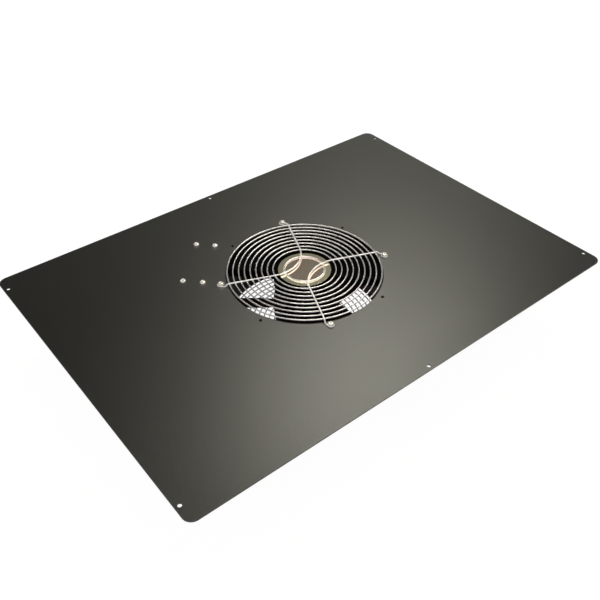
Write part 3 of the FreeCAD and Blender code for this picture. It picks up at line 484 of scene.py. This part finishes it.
class Finish(Web):
    """A material in the making, with its Principled shader and its object coordinates."""

    def __init__(self, name, **constants):
        self.material = bpy.data.materials.new(name)
        self.material.use_nodes = True
        super().__init__(self.material.node_tree)
        self.tree.nodes.clear()
        self.shader = self.tree.nodes.new("ShaderNodeBsdfPrincipled")
        self.surface = self.tree.nodes.new("ShaderNodeOutputMaterial").inputs["Surface"]
        self.tree.links.new(self.shader.outputs[0], self.surface)
        self.place = self.node("ShaderNodeTexCoord", output="Object")
        self.wear(**constants)

    def wear(self, **sockets):
        """Set or link sockets of the shader, whose names' underscores stand for spaces."""
        for name, value in sockets.items():
            target = self.shader.inputs[name.replace("_", " ")]
            if isinstance(value, Value):
                self.tree.links.new(value.socket, target)
            elif hasattr(value, "__len__"):
                target.default_value = (*value, 1.0)
            else:
                target.default_value = value
        return self.material

    def stretched(self, scale):
        """The object coordinates scaled along each axis."""
        return self.node("ShaderNodeMapping", None,
                         {"Vector": self.place, "Scale": scale})

    def noise(self, scale, detail=2.0, place=None):
        """Soft random patches, with this many of them to a metre."""
        return self.node("ShaderNodeTexNoise", None,
                         {"Vector": place or self.place, "Scale": scale, "Detail": detail})

    def cells(self, scale):
        """The distance to the nearest of points scattered this many to a metre."""
        return self.node("ShaderNodeTexVoronoi", None, {"Vector": self.place, "Scale": scale})

    def axes(self):
        """The three object coordinates, each as a value of its own."""
        split = self.tree.nodes.new("ShaderNodeSeparateXYZ")
        self.tree.links.new(self.place.socket, split.inputs[0])
        return [Value(self, output) for output in split.outputs]

    def reach(self):
        """The distance from the fan's axis."""
        across, along, _ = self.axes()
        return (across * across + along * along) ** 0.5

    def bump(self, height, depth):
        """The normal of a surface with this relief, whose full depth is in metres."""
        return self.node("ShaderNodeBump", None, {"Height": height, "Distance": depth})


def padded(value):
    return value if isinstance(value, Value) else (*value, 1.0)


def shade(value, factor):
    return tuple(channel * factor for channel in value)


def powder_coat(name, base):
    """Semi-gloss powder coat: an orange-peel relief of fine cells and a little dust."""
    finish = Finish(name)
    peel = finish.noise(900.0, 3.0)
    dust = finish.noise(2600.0)
    patches = finish.noise(9.0, 3.0)
    return finish.wear(Base_Color=finish.blend(dust.above(0.35, 0.75), base, shade(base, 2.2)),
                       Roughness=0.285 + 0.012 * patches + 0.02 * peel,
                       Normal=finish.bump(peel + 0.35 * dust, 0.09 * MM))


def cast_paint(name, base, gloss, barrel=1.0):
    """Matt paint over a die casting: pebbled skin and faint flow marks.

    Outside the barrel's radius the paint is lightened as painted light that shows its roundness,
    inside it stays black.
    """
    finish = Finish(name, Specular_IOR_Level=gloss)
    pebbles = finish.cells(700.0)
    flow = finish.noise(60.0, 4.0)
    outside = finish.reach().above(barrel - 0.5 * MM, barrel)
    # Painted light: outside the barrel the paint is lightened 14 times, and its flow marks 20 times
    paint_with_painted_light = finish.blend(outside, base, shade(base, 14.0))
    flow_marks_with_painted_light = finish.blend(outside, shade(base, 1.9), shade(base, 20.0))
    return finish.wear(Base_Color=finish.blend(flow.above(0.3, 0.7), paint_with_painted_light, flow_marks_with_painted_light),
                       Roughness=0.5 + 0.15 * flow,
                       Normal=finish.bump(pebbles + 0.8 * flow, 0.09 * MM))


def moulded(name, base, gloss=0.45, shine=0.3):
    """Moulded plastic: a fine spark-eroded texture with flow streaks."""
    finish = Finish(name, Specular_IOR_Level=shine)
    grain = finish.noise(1800.0)
    streaks = finish.noise(40.0, 3.0, finish.stretched((1.0, 1.0, 4.0)))
    return finish.wear(Base_Color=finish.blend(streaks, base, shade(base, 1.5)),
                       Roughness=gloss + 0.12 * grain + 0.08 * streaks,
                       Normal=finish.bump(grain, 0.02 * MM))


def plated(name, base, gloss, painted_shade_reach=0.0):
    """Bright plated metal: tiny drawing marks, dull patches and a cloudy tint.

    Where a reach for it is given, painted shade darkens the plating wherever another face lies that
    close.
    """
    finish = Finish(name, Metallic=1.0)
    marks = finish.noise(1500.0)
    cloud = finish.noise(70.0, 3.0)
    plating = finish.blend(cloud.above(0.3, 0.8), base, shade(base, 0.8))
    if painted_shade_reach:
        # Painted shade: ambient occlusion darkens the plating to 0.04 of its colour in recesses and
        # next to other parts
        open_air = finish.node("ShaderNodeAmbientOcclusion", None, {"Distance": painted_shade_reach},
                               output="AO")
        plating = finish.blend(open_air.above(0.4, 0.85), shade(base, 0.04), plating)
    return finish.wear(Base_Color=plating, Roughness=gloss + 0.10 * marks * cloud,
                       Normal=finish.bump(marks, 0.006 * MM))


def satin_disc(name, base, ring_radius):
    """Satin-plated sheet: turned marks round the middle, browner inside the small ring."""
    finish = Finish(name, Metallic=1.0)
    radius = finish.reach()
    turning = radius.wave(TURN / 9000.0)
    cloud = finish.noise(120.0, 4.0)
    outside = radius.above(ring_radius - 0.5 * MM, ring_radius + 0.5 * MM)
    plain = finish.blend(cloud, base, shade(base, 0.92))
    brown = (base[0] * 0.8, base[1] * 0.73, base[2] * 0.78)
    return finish.wear(Base_Color=finish.blend(outside, brown, plain),
                       Roughness=0.05 + 0.01 * cloud,
                       Normal=finish.bump(turning, 0.0003 * MM))


def ground_steel(name, base):
    """Ground or turned steel: close rings of tool marks along Z."""
    finish = Finish(name, Metallic=1.0)
    marks = finish.noise(400.0, 3.0, finish.stretched((0.15, 0.15, 12.0)))
    return finish.wear(Base_Color=finish.blend(marks, base, shade(base, 0.75)),
                       Roughness=0.22 + 0.2 * marks, Normal=finish.bump(marks, 0.01 * MM))


def laminations(name, base):
    """Stacked sheets of electrical steel, half a millimetre each, with blued edges."""
    finish = Finish(name, Metallic=1.0)
    _, _, height = finish.axes()
    sheets = height.wave(0.5 * MM)
    blued = finish.noise(90.0, 3.0)
    return finish.wear(Base_Color=finish.blend(sheets, shade(base, 0.35), shade(base, 0.7)),
                       Roughness=0.4 + 0.25 * blued, Normal=finish.bump(sheets, 0.06 * MM))


def windings(name, base):
    """Varnished copper wire laid in close turns."""
    finish = Finish(name, Metallic=1.0)
    across, along, height = finish.axes()
    turns = (across + along + height).wave(0.7 * MM)
    varnish = finish.noise(80.0, 3.0)
    return finish.wear(Base_Color=finish.blend(turns, shade(base, 0.4), base),
                       Roughness=0.25 + 0.2 * varnish, Normal=finish.bump(turns, 0.12 * MM))


# ---------- wire guards

def guard_frame(level):
    """Where a guard's own frame, whose z = 0 is the face under its eyelets, goes."""
    if level == "upper":
        return Matrix.Translation((0, 0, PANEL_TOP))
    return Matrix.Translation((0, 0, FAN_FOOT)) @ Matrix.Rotation(math.pi, 4, "X")


def arm_path(guard, side):
    """The line of one arm: straight beside its radius, down to the face, round the screw.

    The arm lies along (1, side) / sqrt 2. A point of it is distance * along + across *
    outward + height * up, and its eyelet is a circle about the screw's axis.
    """
    along = np.array([1.0, side, 0.0]) / math.sqrt(2)
    outward = np.array([-1.0, side, 0.0]) / math.sqrt(2)
    up = np.array([0.0, 0.0, 1.0])
    high = guard.ring_height + guard.wire
    low = guard.wire / 2
    landing = guard.bolt_radius - guard.foot_inset

    def at(distance, across, height):
        return distance * along + across * outward + height * up

    start = at(guard.bend - guard.offset, guard.offset, high)
    shoulder = at(landing - guard.slope, guard.offset, high)
    foot = at(landing, guard.offset, low)
    to_screw = math.hypot(guard.foot_inset, guard.offset)
    heading = math.atan2(-guard.offset, guard.foot_inset) + math.asin(guard.eyelet / to_screw)
    run = math.sqrt(to_screw ** 2 - guard.eyelet ** 2)
    touch = at(landing + run * math.cos(heading), guard.offset + run * math.sin(heading), low)
    turns = heading + math.pi / 2 - np.linspace(0, TURN - guard.eyelet_gap, 40)[1:, None]
    eyelet = (guard.bolt_radius * along + guard.eyelet * (np.cos(turns) * along
              + np.sin(turns) * outward) + low * up)
    first = corner_arc(start, shoulder, foot, guard.corner)
    second = corner_arc(shoulder, foot, touch, guard.corner)
    return np.vstack([np.linspace(start, first[0], 60)[:-1], first,
                      np.linspace(first[-1], second[0], 6)[1:-1], second,
                      np.linspace(second[-1], touch, 4)[1:], eyelet])


def corner_arc(before, corner, after, radius):
    """Points of the arc of a radius that rounds the corner between two straight lines."""
    inward = unit(before - corner)
    outward = unit(after - corner)
    half = math.acos(np.clip(inward @ outward, -1, 1)) / 2
    reach = radius / math.tan(half)
    return swing(corner + unit(inward + outward) * radius / math.sin(half),
                 corner + inward * reach, corner + outward * reach, 7)


def support_path(guard):
    """The line of one support wire: an arm, the long bend beside the disc, and an arm."""
    arms = [arm_path(guard, side) for side in (1, -1)]
    centre = np.array([(guard.bend - guard.offset) * math.sqrt(2), 0.0, arms[0][0][2]])
    bend = swing(centre, arms[1][0], arms[0][0], 40)
    return np.vstack([arms[1][:0:-1], bend, arms[0][1:]])


def rounded_ends(path, wire):
    """A wire's radius along its path: full, but rounded off over 0.3 of the wire at its ends."""
    step = np.linalg.norm(np.diff(path, axis=0), axis=1)
    walked = np.concatenate([[0], np.cumsum(step)])
    to_end = np.minimum(walked, walked[-1] - walked)
    share = np.clip(to_end / (0.3 * wire), 0, 1)
    return wire / 2 * (0.55 + 0.45 * np.sqrt(1 - (1 - share) ** 2))


def ring_skin(radius, guard, seam):
    """A ring of wire, swollen to 1 + 0.1 e^-(s / wire)^2 at s metres from its seam."""
    around = all_round(int(48 + radius * 1400))
    path = spun(radius, around, guard.ring_height)
    away = (around - seam + math.pi) % TURN - math.pi
    swell = 1 + 0.10 * np.exp(-(away * radius / guard.wire) ** 2)
    return swept(path, guard.wire / 2 * swell, closed=True)


def nugget(place, heading, guard):
    """A weld nugget: a ball squashed to a low pad where two wires cross."""
    polar = np.linspace(0.25, math.pi - 0.25, 6)
    around = all_round(10)
    size = np.array([0.85, 0.62, 0.42]) * guard.wire
    ball = spun(np.sin(polar)[:, None], around, np.cos(polar)[:, None]) * size
    return woven(ball).placed(Matrix.Translation(place) @ Matrix.Rotation(heading, 4, "Z"))


def weld_nuggets(path, radii, guard):
    """A nugget wherever the support wire's line passes over a ring."""
    reach = np.hypot(path[:, 0], path[:, 1])
    nuggets = []
    for radius in radii:
        for step in np.flatnonzero(np.diff(np.sign(reach - radius))):
            share = (radius - reach[step]) / (reach[step + 1] - reach[step])
            place = path[step] + share * (path[step + 1] - path[step])
            place[2] = guard.ring_height + guard.wire / 2
            nuggets.append(nugget(place, math.atan2(place[1], place[0]), guard))
    return joined(nuggets)


def disc_skin(node, guard):
    """The guard's middle disc: a rolled rim and a shallow pressed dish inside the ring."""
    low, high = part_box(node)
    rim = high.x
    middle = 0.02 * rim
    top = guard.ring_height - guard.wire / 2
    foot = top - (high.z - low.z)
    dish = guard.inner_ring - 2 * guard.wire
    flat = dish - 1.5 * guard.wire
    profile = [(middle, foot - guard.dish), (flat, foot - guard.dish), (dish, foot),
               (rim, foot), (rim, top), (dish, top), (flat, top - guard.dish),
               (middle, top - guard.dish)]
    bend = 4 * MM
    soft = [0, bend, bend, guard.rim_round, guard.rim_round, bend, bend, 0]
    outline = rounded(profile, soft)[CORNER_STEPS:-CORNER_STEPS]
    return lathe(np.vstack([profile[:1], outline, profile[-1:]]), 128, closed=False)


class TRAY_OT_guards(bpy.types.Operator):
    """Weld up both wire guards: rings, support wires, weld nuggets and discs"""
    bl_idname = "fan_tray.guards"
    bl_label = "Wire guards"

    def execute(self, context):
        settings = context.scene.fan_tray
        guard = settings.guard
        chrome = plated("chrome_ring", settings.colours.chrome, 0.13)
        # Painted highlight: the support wires take the rings' chrome colour made 1.35 times
        # brighter
        arm_chrome_painted_brighter = plated("chrome_arm", shade(settings.colours.chrome, 1.35), 0.26)
        satin = satin_disc("satin_disc", settings.colours.disc, guard.inner_ring)
        radii = [guard.inner_ring, *np.linspace(guard.first_ring, guard.outer_ring,
                                                guard.ring_count)]
        facing = guard.first_screw + math.pi / ARM_COUNT
        path = support_path(guard)
        wire = swept(path, rounded_ends(path, guard.wire))
        rings = joined([ring_skin(radius, guard, guard.first_screw + SEAM_TURN)
                        for radius in radii])
        nuggets = weld_nuggets(path, radii, guard)
        for level in GUARD_LEVELS:
            place = guard_frame(level)
            turned = [place @ Matrix.Rotation(facing + half * math.pi, 4, "Z") for half in (0, 1)]
            piece(level + "_rings", rings.placed(place), chrome, "guard_chrome",
                  level + "_guard_rings")
            piece(level + "_welds", joined([nuggets.placed(turn) for turn in turned]), chrome,
                  "guard_chrome")
            for letter, turn in zip("ab", turned):
                piece(level + "_support_" + letter, wire.placed(turn), arm_chrome_painted_brighter, "guard_chrome",
                      level + "_guard_wire_" + letter)
            disc = piece(level + "_disc", disc_skin(level + "_guard_disc", guard).placed(place),
                         satin, "disc_satin", level + "_guard_disc")
            flat_faces(disc)
        return {"FINISHED"}


# ---------- screws and nuts

def head_skin(head, height, sizes):
    """A pan head seen as a height over a disc: a dome less a tapering cross.

    The dome is height * (0.32 + 0.68 (1 - (r / R)^5)^(1/2)), so its rim stands 0.32 of the
    height. The cross is the deeper of two slots, along x and along y, each of which fades
    over its walls and towards its ends.
    """
    share = np.concatenate([np.linspace(0.03, 0.62, 16), np.linspace(0.66, 1.0, 12)])
    around = all_round(48)
    across = np.outer(share, np.cos(around)) * head / 2
    along = np.outer(share, np.sin(around)) * head / 2
    radius = np.hypot(across, along)
    dome = height * (0.32 + 0.68 * np.sqrt(np.clip(1 - (2 * radius / head) ** 5, 0, 1)))

    def slot(offset):
        wall = np.clip((sizes.recess_width * 0.85 - np.abs(offset))
                       / (0.45 * sizes.recess_width), 0, 1)
        return wall * wall * (3 - 2 * wall)

    reach = np.clip((sizes.recess / 2 - radius) / (0.35 * sizes.recess), 0, 1)
    cross = np.maximum(slot(across), slot(along)) * reach * sizes.recess_depth
    top = np.stack([across, along, dome - cross], axis=-1)
    foot = top[-1].copy()
    foot[:, 2] = 0.0
    return woven(np.concatenate([top, foot[None]]))


def shank_skin(diameter, length, pitch):
    """A threaded shank that hangs below z = 0.

    Its radius is R - depth * |2 p - 1|, where p is z / pitch - t / turn less its whole part.
    """
    rows = max(8, int(length / pitch * 8))
    height = -np.linspace(0, length, rows)
    around = all_round(20)
    phase = (height[:, None] / pitch - around[None] / TURN) % 1
    depth = 0.6 * pitch * np.clip((length + height) / pitch, 0, 1)[:, None] ** 0.5
    end = 0.5 * pitch * np.clip(1 - (length + height) / pitch, 0, 1)[:, None]
    radius = diameter / 2 - depth * np.abs(2 * phase - 1) - end
    return woven(spun(radius, around, height[:, None]))


def screw_skin(length, sizes, scale):
    """A pan head on its shank, with the face under the head at z = 0."""
    shank = shank_skin(sizes.shank * scale, length, sizes.pitch)
    return head_skin(sizes.head * scale, sizes.head_height * scale, sizes) + shank


def nut_skin(low, high, sizes):
    """A hexagon nut: six flats, cut back by a 30 degree cone at both ends, and a bore.

    The outer radius at angle t is the lesser of the hexagon's apothem / cos(t) and the
    cone's radius at that height.
    """
    height = high - low
    apothem = sizes.nut_corner * math.cos(math.pi / 6)
    around = all_round(72)
    sector = (around + math.pi / 6) % (math.pi / 3) - math.pi / 6
    hexagon = apothem / np.cos(sector)
    share = np.array([0, 0.06, 0.12, 0.2, 0.5, 0.8, 0.88, 0.94, 1.0])
    slack = np.minimum(share, 1 - share) * height / math.tan(math.radians(30))
    outer = np.minimum(hexagon[None], apothem * 0.99 + slack[:, None])
    bore = sizes.shank / 2 * np.ones_like(hexagon)
    radius = np.vstack([outer, bore + 0.25 * MM, bore, bore, bore + 0.25 * MM])
    level = low + height * np.concatenate([share, [1.0, 0.92, 0.08, 0.0]])
    return woven(spun(radius, around, level[:, None]), wrap_rows=True)


def stands(node):
    """The middle of each separate solid of a CAD node, seen from above, found by its gaps."""
    work = bmesh.new()
    work.from_mesh(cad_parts[node].data)
    bmesh.ops.remove_doubles(work, verts=work.verts, dist=SAME_PLACE)
    waiting = set(work.verts)
    middles = []
    while waiting:
        front = [waiting.pop()]
        island = set(front)
        while front:
            vertex = front.pop()
            near = {edge.other_vert(vertex) for edge in vertex.link_edges} - island
            island |= near
            front.extend(near)
        waiting -= island
        corners = np.array([vertex.co for vertex in island])
        middles.append((corners.min(0) + corners.max(0)) / 2)
    work.free()
    return sorted(middles, key=lambda point: tuple(point.round(5)))


def spread(skin, node, height, first, step, flip=0.0):
    """A copy of a skin at each solid of a CAD node, each turned a step further about Z.

    The flip is a turn about X, for those that point down.
    """
    copies = []
    for number, (across, along, _) in enumerate(stands(node)):
        place = Matrix.Translation((across, along, height)) @ Matrix.Rotation(flip, 4, "X")
        copies.append(skin.placed(place @ Matrix.Rotation(first + step * number, 4, "Z")))
    return joined(copies)


class TRAY_OT_fasteners(bpy.types.Operator):
    """Turn every screw with its thread and cross recess, and every nut with its chamfers"""
    bl_idname = "fan_tray.fasteners"
    bl_label = "Screws and nuts"

    def execute(self, context):
        settings = context.scene.fan_tray
        sizes = settings.screw
        # The screws' cross recesses and the rims by their eyelets get painted shade
        nickel = plated("nickel_screw", settings.colours.nickel, 0.12, painted_shade_reach=1.6 * MM)
        zinc = plated("zinc_nut", settings.colours.zinc, 0.3)
        for node, flip in (("upper_guard_screws", 0.0), ("box_screws", 0.0),
                           ("lower_guard_screws", math.pi), ("cover_screws", math.pi)):
            low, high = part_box(node)
            scale = 0.8 if node == "cover_screws" else 1.0
            head = sizes.head_height * scale
            screw = screw_skin(high.z - low.z - head, sizes, scale)
            seat = low.z + head if flip else high.z - head
            screws = spread(screw, node, seat, FIRST_SCREW_TURN, SCREW_TURN, flip)
            piece(node.replace("guard_", "") + "_turned", screws, nickel, "screw_plated", node,
                  sharp=math.radians(40))
        for node in ("upper_guard_nuts", "lower_guard_nuts", "box_nuts"):
            low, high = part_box(node)
            nuts = spread(nut_skin(low.z, high.z, sizes), node, 0.0, 0.0, NUT_TURN)
            piece(node.replace("guard_", "") + "_cut", nuts, zinc, "nut_zinc", node)
        return {"FINISHED"}


# ---------- fan

def blade_skin(fan, root, tip, level):
    """One blade, as a closed section carried from the band out to the tip.

    At radius r the half chord is c, and a point at share t of it lies at y = c t and
    x = (r^2 - y^2)^(1/2), at the height rise * atan(c / x) * t + camber * (1 - t^2). The
    section runs round an oval, t = cos p, whose half thickness is thickness / 2 * sqrt|sin p|.
    """
    stations = 26
    reach_to = np.concatenate([np.linspace(root - 1.0 * MM, tip - 1.0 * MM, stations),
                               [tip - 0.5 * MM, tip - 0.15 * MM, tip]])
    thin = np.concatenate([np.ones(stations), [0.92, 0.7, 0.4]])
    around = all_round(56)
    share = np.cos(around)[None]
    slope_start = math.sqrt(root ** 2 - (fan.root_chord / 2) ** 2)
    reach = reach_to[:, None]
    for _ in range(6):
        half = (fan.root_chord - fan.chord_taper * (reach - slope_start)) / 2
        reach = np.sqrt(reach_to[:, None] ** 2 - (half * share) ** 2)
    skin_half = fan.thickness / 2 * np.sign(np.sin(around)) * np.sqrt(np.abs(np.sin(around)))
    height = (fan.rise * np.arctan2(half, reach) * share + fan.camber * (1 - share ** 2)
              + skin_half[None] * thin[:, None] + level)
    return woven(np.stack([reach, half * share, height], axis=-1))


class TRAY_OT_fan(bpy.types.Operator):
    """Make the impeller and the rotor cup, and finish the housing and the motor"""
    bl_idname = "fan_tray.fan"
    bl_label = "Fan"

    def execute(self, context):
        settings = context.scene.fan_tray
        colours = settings.colours
        fan = settings.fan
        black = moulded("blade_plastic", colours.moulding, 0.6, 0.02)
        paint = cast_paint("casting_paint", colours.casting, 0.02, fan.barrel)
        matt = cast_paint("mount_paint", colours.casting, 0.015)
        low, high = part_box("impeller")
        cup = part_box("rotor_cup")[1].x
        corners = np.array([vertex.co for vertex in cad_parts["impeller"].data.vertices])
        tip = float(np.hypot(corners[:, 0], corners[:, 1]).max())
        band = cup + 1.5 * MM
        blade = blade_skin(fan, cup, tip, (low.z + high.z) / 2)
        blades = [blade.placed(Matrix.Rotation(fan.blade_angle + turn, 4, "Z"))
                  for turn in all_round(fan.blade_count)]
        ring = rounded([(cup + 0.05 * MM, low.z), (band, low.z), (band, high.z),
                        (cup + 0.05 * MM, high.z)], [0, 0.5 * MM, 0.5 * MM, 0])
        piece("impeller_blades", joined(blades + [lathe(ring)]), black, "blade_black",
              "impeller", body=SPINNING_BODY)
        softened("rotor_shell", "rotor_cup", fan.cup_round, paint, "rotor_black", 4,
                 body=SPINNING_BODY)
        softened("housing", "fan_housing", 0.5 * MM, paint, "cast_black")
        softened("motor_base", "motor_mount", 0.6 * MM, matt, "cast_black")
        coat(laminations("lamination_stack", colours.steel), "stator_stack", "rotor_cage")
        coat(windings("winding_copper", colours.copper), "stator_windings")
        coat(ground_steel("bearing_steel", colours.steel), "rotor_shaft", "bearing_tube",
             "bearing_spacer", "bearing_outer_rings", "bearing_inner_rings", "bearing_balls",
             "preload_washer", "shaft_clip")
        coat(black, "dust_cap", "terminal_block")
        coat(plated("terminal_brass", colours.brass, 0.3), "terminal_tabs")
        return {"FINISHED"}


# ---------- panel and box

class TRAY_OT_sheets(bpy.types.Operator):
    """Roll the edges of the panel and the box, and finish them and the box's fittings"""
    bl_idname = "fan_tray.sheets"
    bl_label = "Panel and box"

    def execute(self, context):
        colours = context.scene.fan_tray.colours
        powder = powder_coat("panel_powder", colours.panel)
        nylon = moulded("gland_nylon", colours.moulding, 0.4)
        softened("panel", "top_plate", 0.3 * MM, powder, "panel_black")
        softened("box_shell", "box_body", 0.5 * MM, powder, "panel_black")
        softened("box_lid", "box_cover", 0.4 * MM, powder, "panel_black")
        softened("gland_body", "cord_gland", 0.35 * MM, nylon, "black_plastic")
        softened("gland_dome", "gland_cap", 0.8 * MM, nylon, "black_plastic", 3)
        coat(nylon, "gland_locknut", "lead_bushing")
        coat(moulded("strip_ivory", colours.ivory), "terminal_strip")
        coat(plated("clamp_brass", colours.brass, 0.3), "strip_clamps")
        coat(plated("strip_screw_zinc", colours.zinc, 0.3), "strip_screws")
        return {"FINISHED"}


# ---------- stage

def floor_finish(base, shadow):
    """The floor: white to the camera and to reflections, with a share that takes shadow."""
    finish = Finish("floor_white", Base_Color=base, Roughness=0.9, Specular_IOR_Level=0.1)
    seen = finish.ray("Camera") + finish.ray("Glossy") + finish.ray("Transmission")
    glow = finish.node("ShaderNodeEmission", None, {"Color": (1.0, 1.0, 1.0, 1.0), "Strength": 1.1})
    both = finish.node("ShaderNodeMixShader", None,
                       {0: seen * (1.0 - shadow), 1: Value(finish, finish.shader.outputs[0]),
                        2: glow})
    finish.tree.links.new(both.socket, finish.surface)
    return finish.material


def white_room(stage):
    """The surroundings: plain white to the eye, but a dim ceiling and a window in reflections.

    With d the direction looked in, the window, its halo and the high glow are smooth steps
    of d . w, where w is the direction of their middle. The ceiling's grey is one of d's height.
    """
    world = bpy.data.worlds.new("white_room")
    world.use_nodes = True
    room = Web(world.node_tree)
    facing = room.node("ShaderNodeTexCoord", output="Generated")
    height = room.node("ShaderNodeSeparateXYZ", None, {0: facing}, output=2)

    def nearness(heading, rise):
        """The cosine between the direction looked in and one given by two angles."""
        towards = (math.cos(rise) * math.cos(heading), math.cos(rise) * math.sin(heading),
                   math.sin(rise))
        return room.node("ShaderNodeVectorMath", {"operation": "DOT_PRODUCT"},
                         {0: facing, 1: towards}, output="Value")

    to_window = nearness(stage.window_heading, stage.window_height)
    to_fill = nearness(stage.fill_heading, stage.fill_height)
    ahead = nearness(stage.window_heading, 0.0).above(0.1, 0.48)
    ceiling = height.above(0.12, 0.46) * (stage.rear + (1.0 - stage.rear) * ahead)
    eye = room.ray("Camera") + room.ray("Transmission")
    again = room.node("ShaderNodeLightPath", output="Glossy Depth").above(1.2, 1.8)
    once = 1.0 - (1.0 - stage.overhead) * ceiling
    mirrored = once + again * (stage.repeated - once)
    core = math.cos(stage.window_core)
    glow = (stage.window * to_window.above(math.cos(stage.window_reach), core)
            + stage.halo * to_window.above(math.cos(stage.halo_reach), core)
            + stage.fill * to_fill.above(math.cos(stage.fill_reach), core))
    unseen = stage.sky + room.ray("Glossy") * (mirrored - stage.sky) + glow
    warmth = room.blend(ceiling * (1.0 - eye), (1.0, 1.0, 1.0), stage.window_tint)
    back = room.tree.nodes["Background"]
    room.tree.links.new(warmth.socket, back.inputs["Color"])
    room.tree.links.new((eye + (1.0 - eye) * unseen).socket, back.inputs["Strength"])
    return world


def lamp(name, power, size, place):
    """A round soft lamp that faces the part's origin."""
    light = bpy.data.lights.new(name, "AREA")
    light.energy = power
    light.shape = "DISK"
    light.size = size
    thing = put(name, light)
    thing.visible_camera = False
    thing.location = place
    thing.rotation_euler = (-Vector(place)).to_track_quat("-Z", "Y").to_euler()


class TRAY_OT_stage(bpy.types.Operator):
    """Set the floor, the soft lamps, the white surroundings and the camera"""
    bl_idname = "fan_tray.stage"
    bl_label = "Stage"

    def execute(self, context):
        scene = context.scene
        stage = scene.fan_tray.stage
        half = 6.0
        ground = BARE_BOX[0].z
        mesh = bpy.data.meshes.new("floor")
        corners = [(x * half, y * half, ground) for x, y in ((-1, -1), (1, -1), (1, 1), (-1, 1))]
        mesh.from_pydata(corners, [], [(0, 1, 2, 3)])
        mesh.materials.append(floor_finish(scene.fan_tray.colours.floor, stage.shadow))
        floor = put("floor", mesh)
        lamp("front_lamp", stage.front_power, stage.lamp_size, (-1.1, -1.4, 1.3))
        lamp("side_lamp", stage.side_power, stage.lamp_size, (1.7, -0.9, 1.2))
        scene.world = white_room(stage)

        camera = put("camera", bpy.data.cameras.new("camera"))
        camera.data.lens = stage.lens
        camera.data.clip_start = 0.01
        camera.location = stage.camera
        camera.rotation_euler = (stage.tilt, stage.roll, stage.heading)
        scene.camera = camera
        scene.view_settings.view_transform = "Standard"
        return {"FINISHED"}


# ---------- panel in the sidebar

PIECE_OPERATORS = (TRAY_OT_sheets, TRAY_OT_guards, TRAY_OT_fasteners, TRAY_OT_fan, TRAY_OT_stage)


class TRAY_PT_sidebar(bpy.types.Panel):
    """The fan tray's operators, one to a group of pieces"""
    bl_label = "Rack Fan Tray"
    bl_idname = "TRAY_PT_sidebar"
    bl_space_type = "VIEW_3D"
    bl_region_type = "UI"
    bl_category = "Fan Tray"

    def draw(self, context):
        for operator in PIECE_OPERATORS:
            self.layout.operator(operator.bl_idname)


CLASSES = (GuardSizes, ScrewSizes, FanSizes, FinishColours, StageSizes, TraySettings,
           *PIECE_OPERATORS, TRAY_PT_sidebar)


def register():
    for made in CLASSES:
        bpy.utils.register_class(made)
    bpy.types.Scene.fan_tray = PointerProperty(type=TraySettings)


def unregister():
    del bpy.types.Scene.fan_tray
    for made in reversed(CLASSES):
        bpy.utils.unregister_class(made)


def main():
    register()
    bpy.ops.fan_tray.sheets()
    bpy.ops.fan_tray.guards()
    bpy.ops.fan_tray.fasteners()
    bpy.ops.fan_tray.fan()
    bpy.ops.fan_tray.stage()


if __name__ == "__main__":
    main()
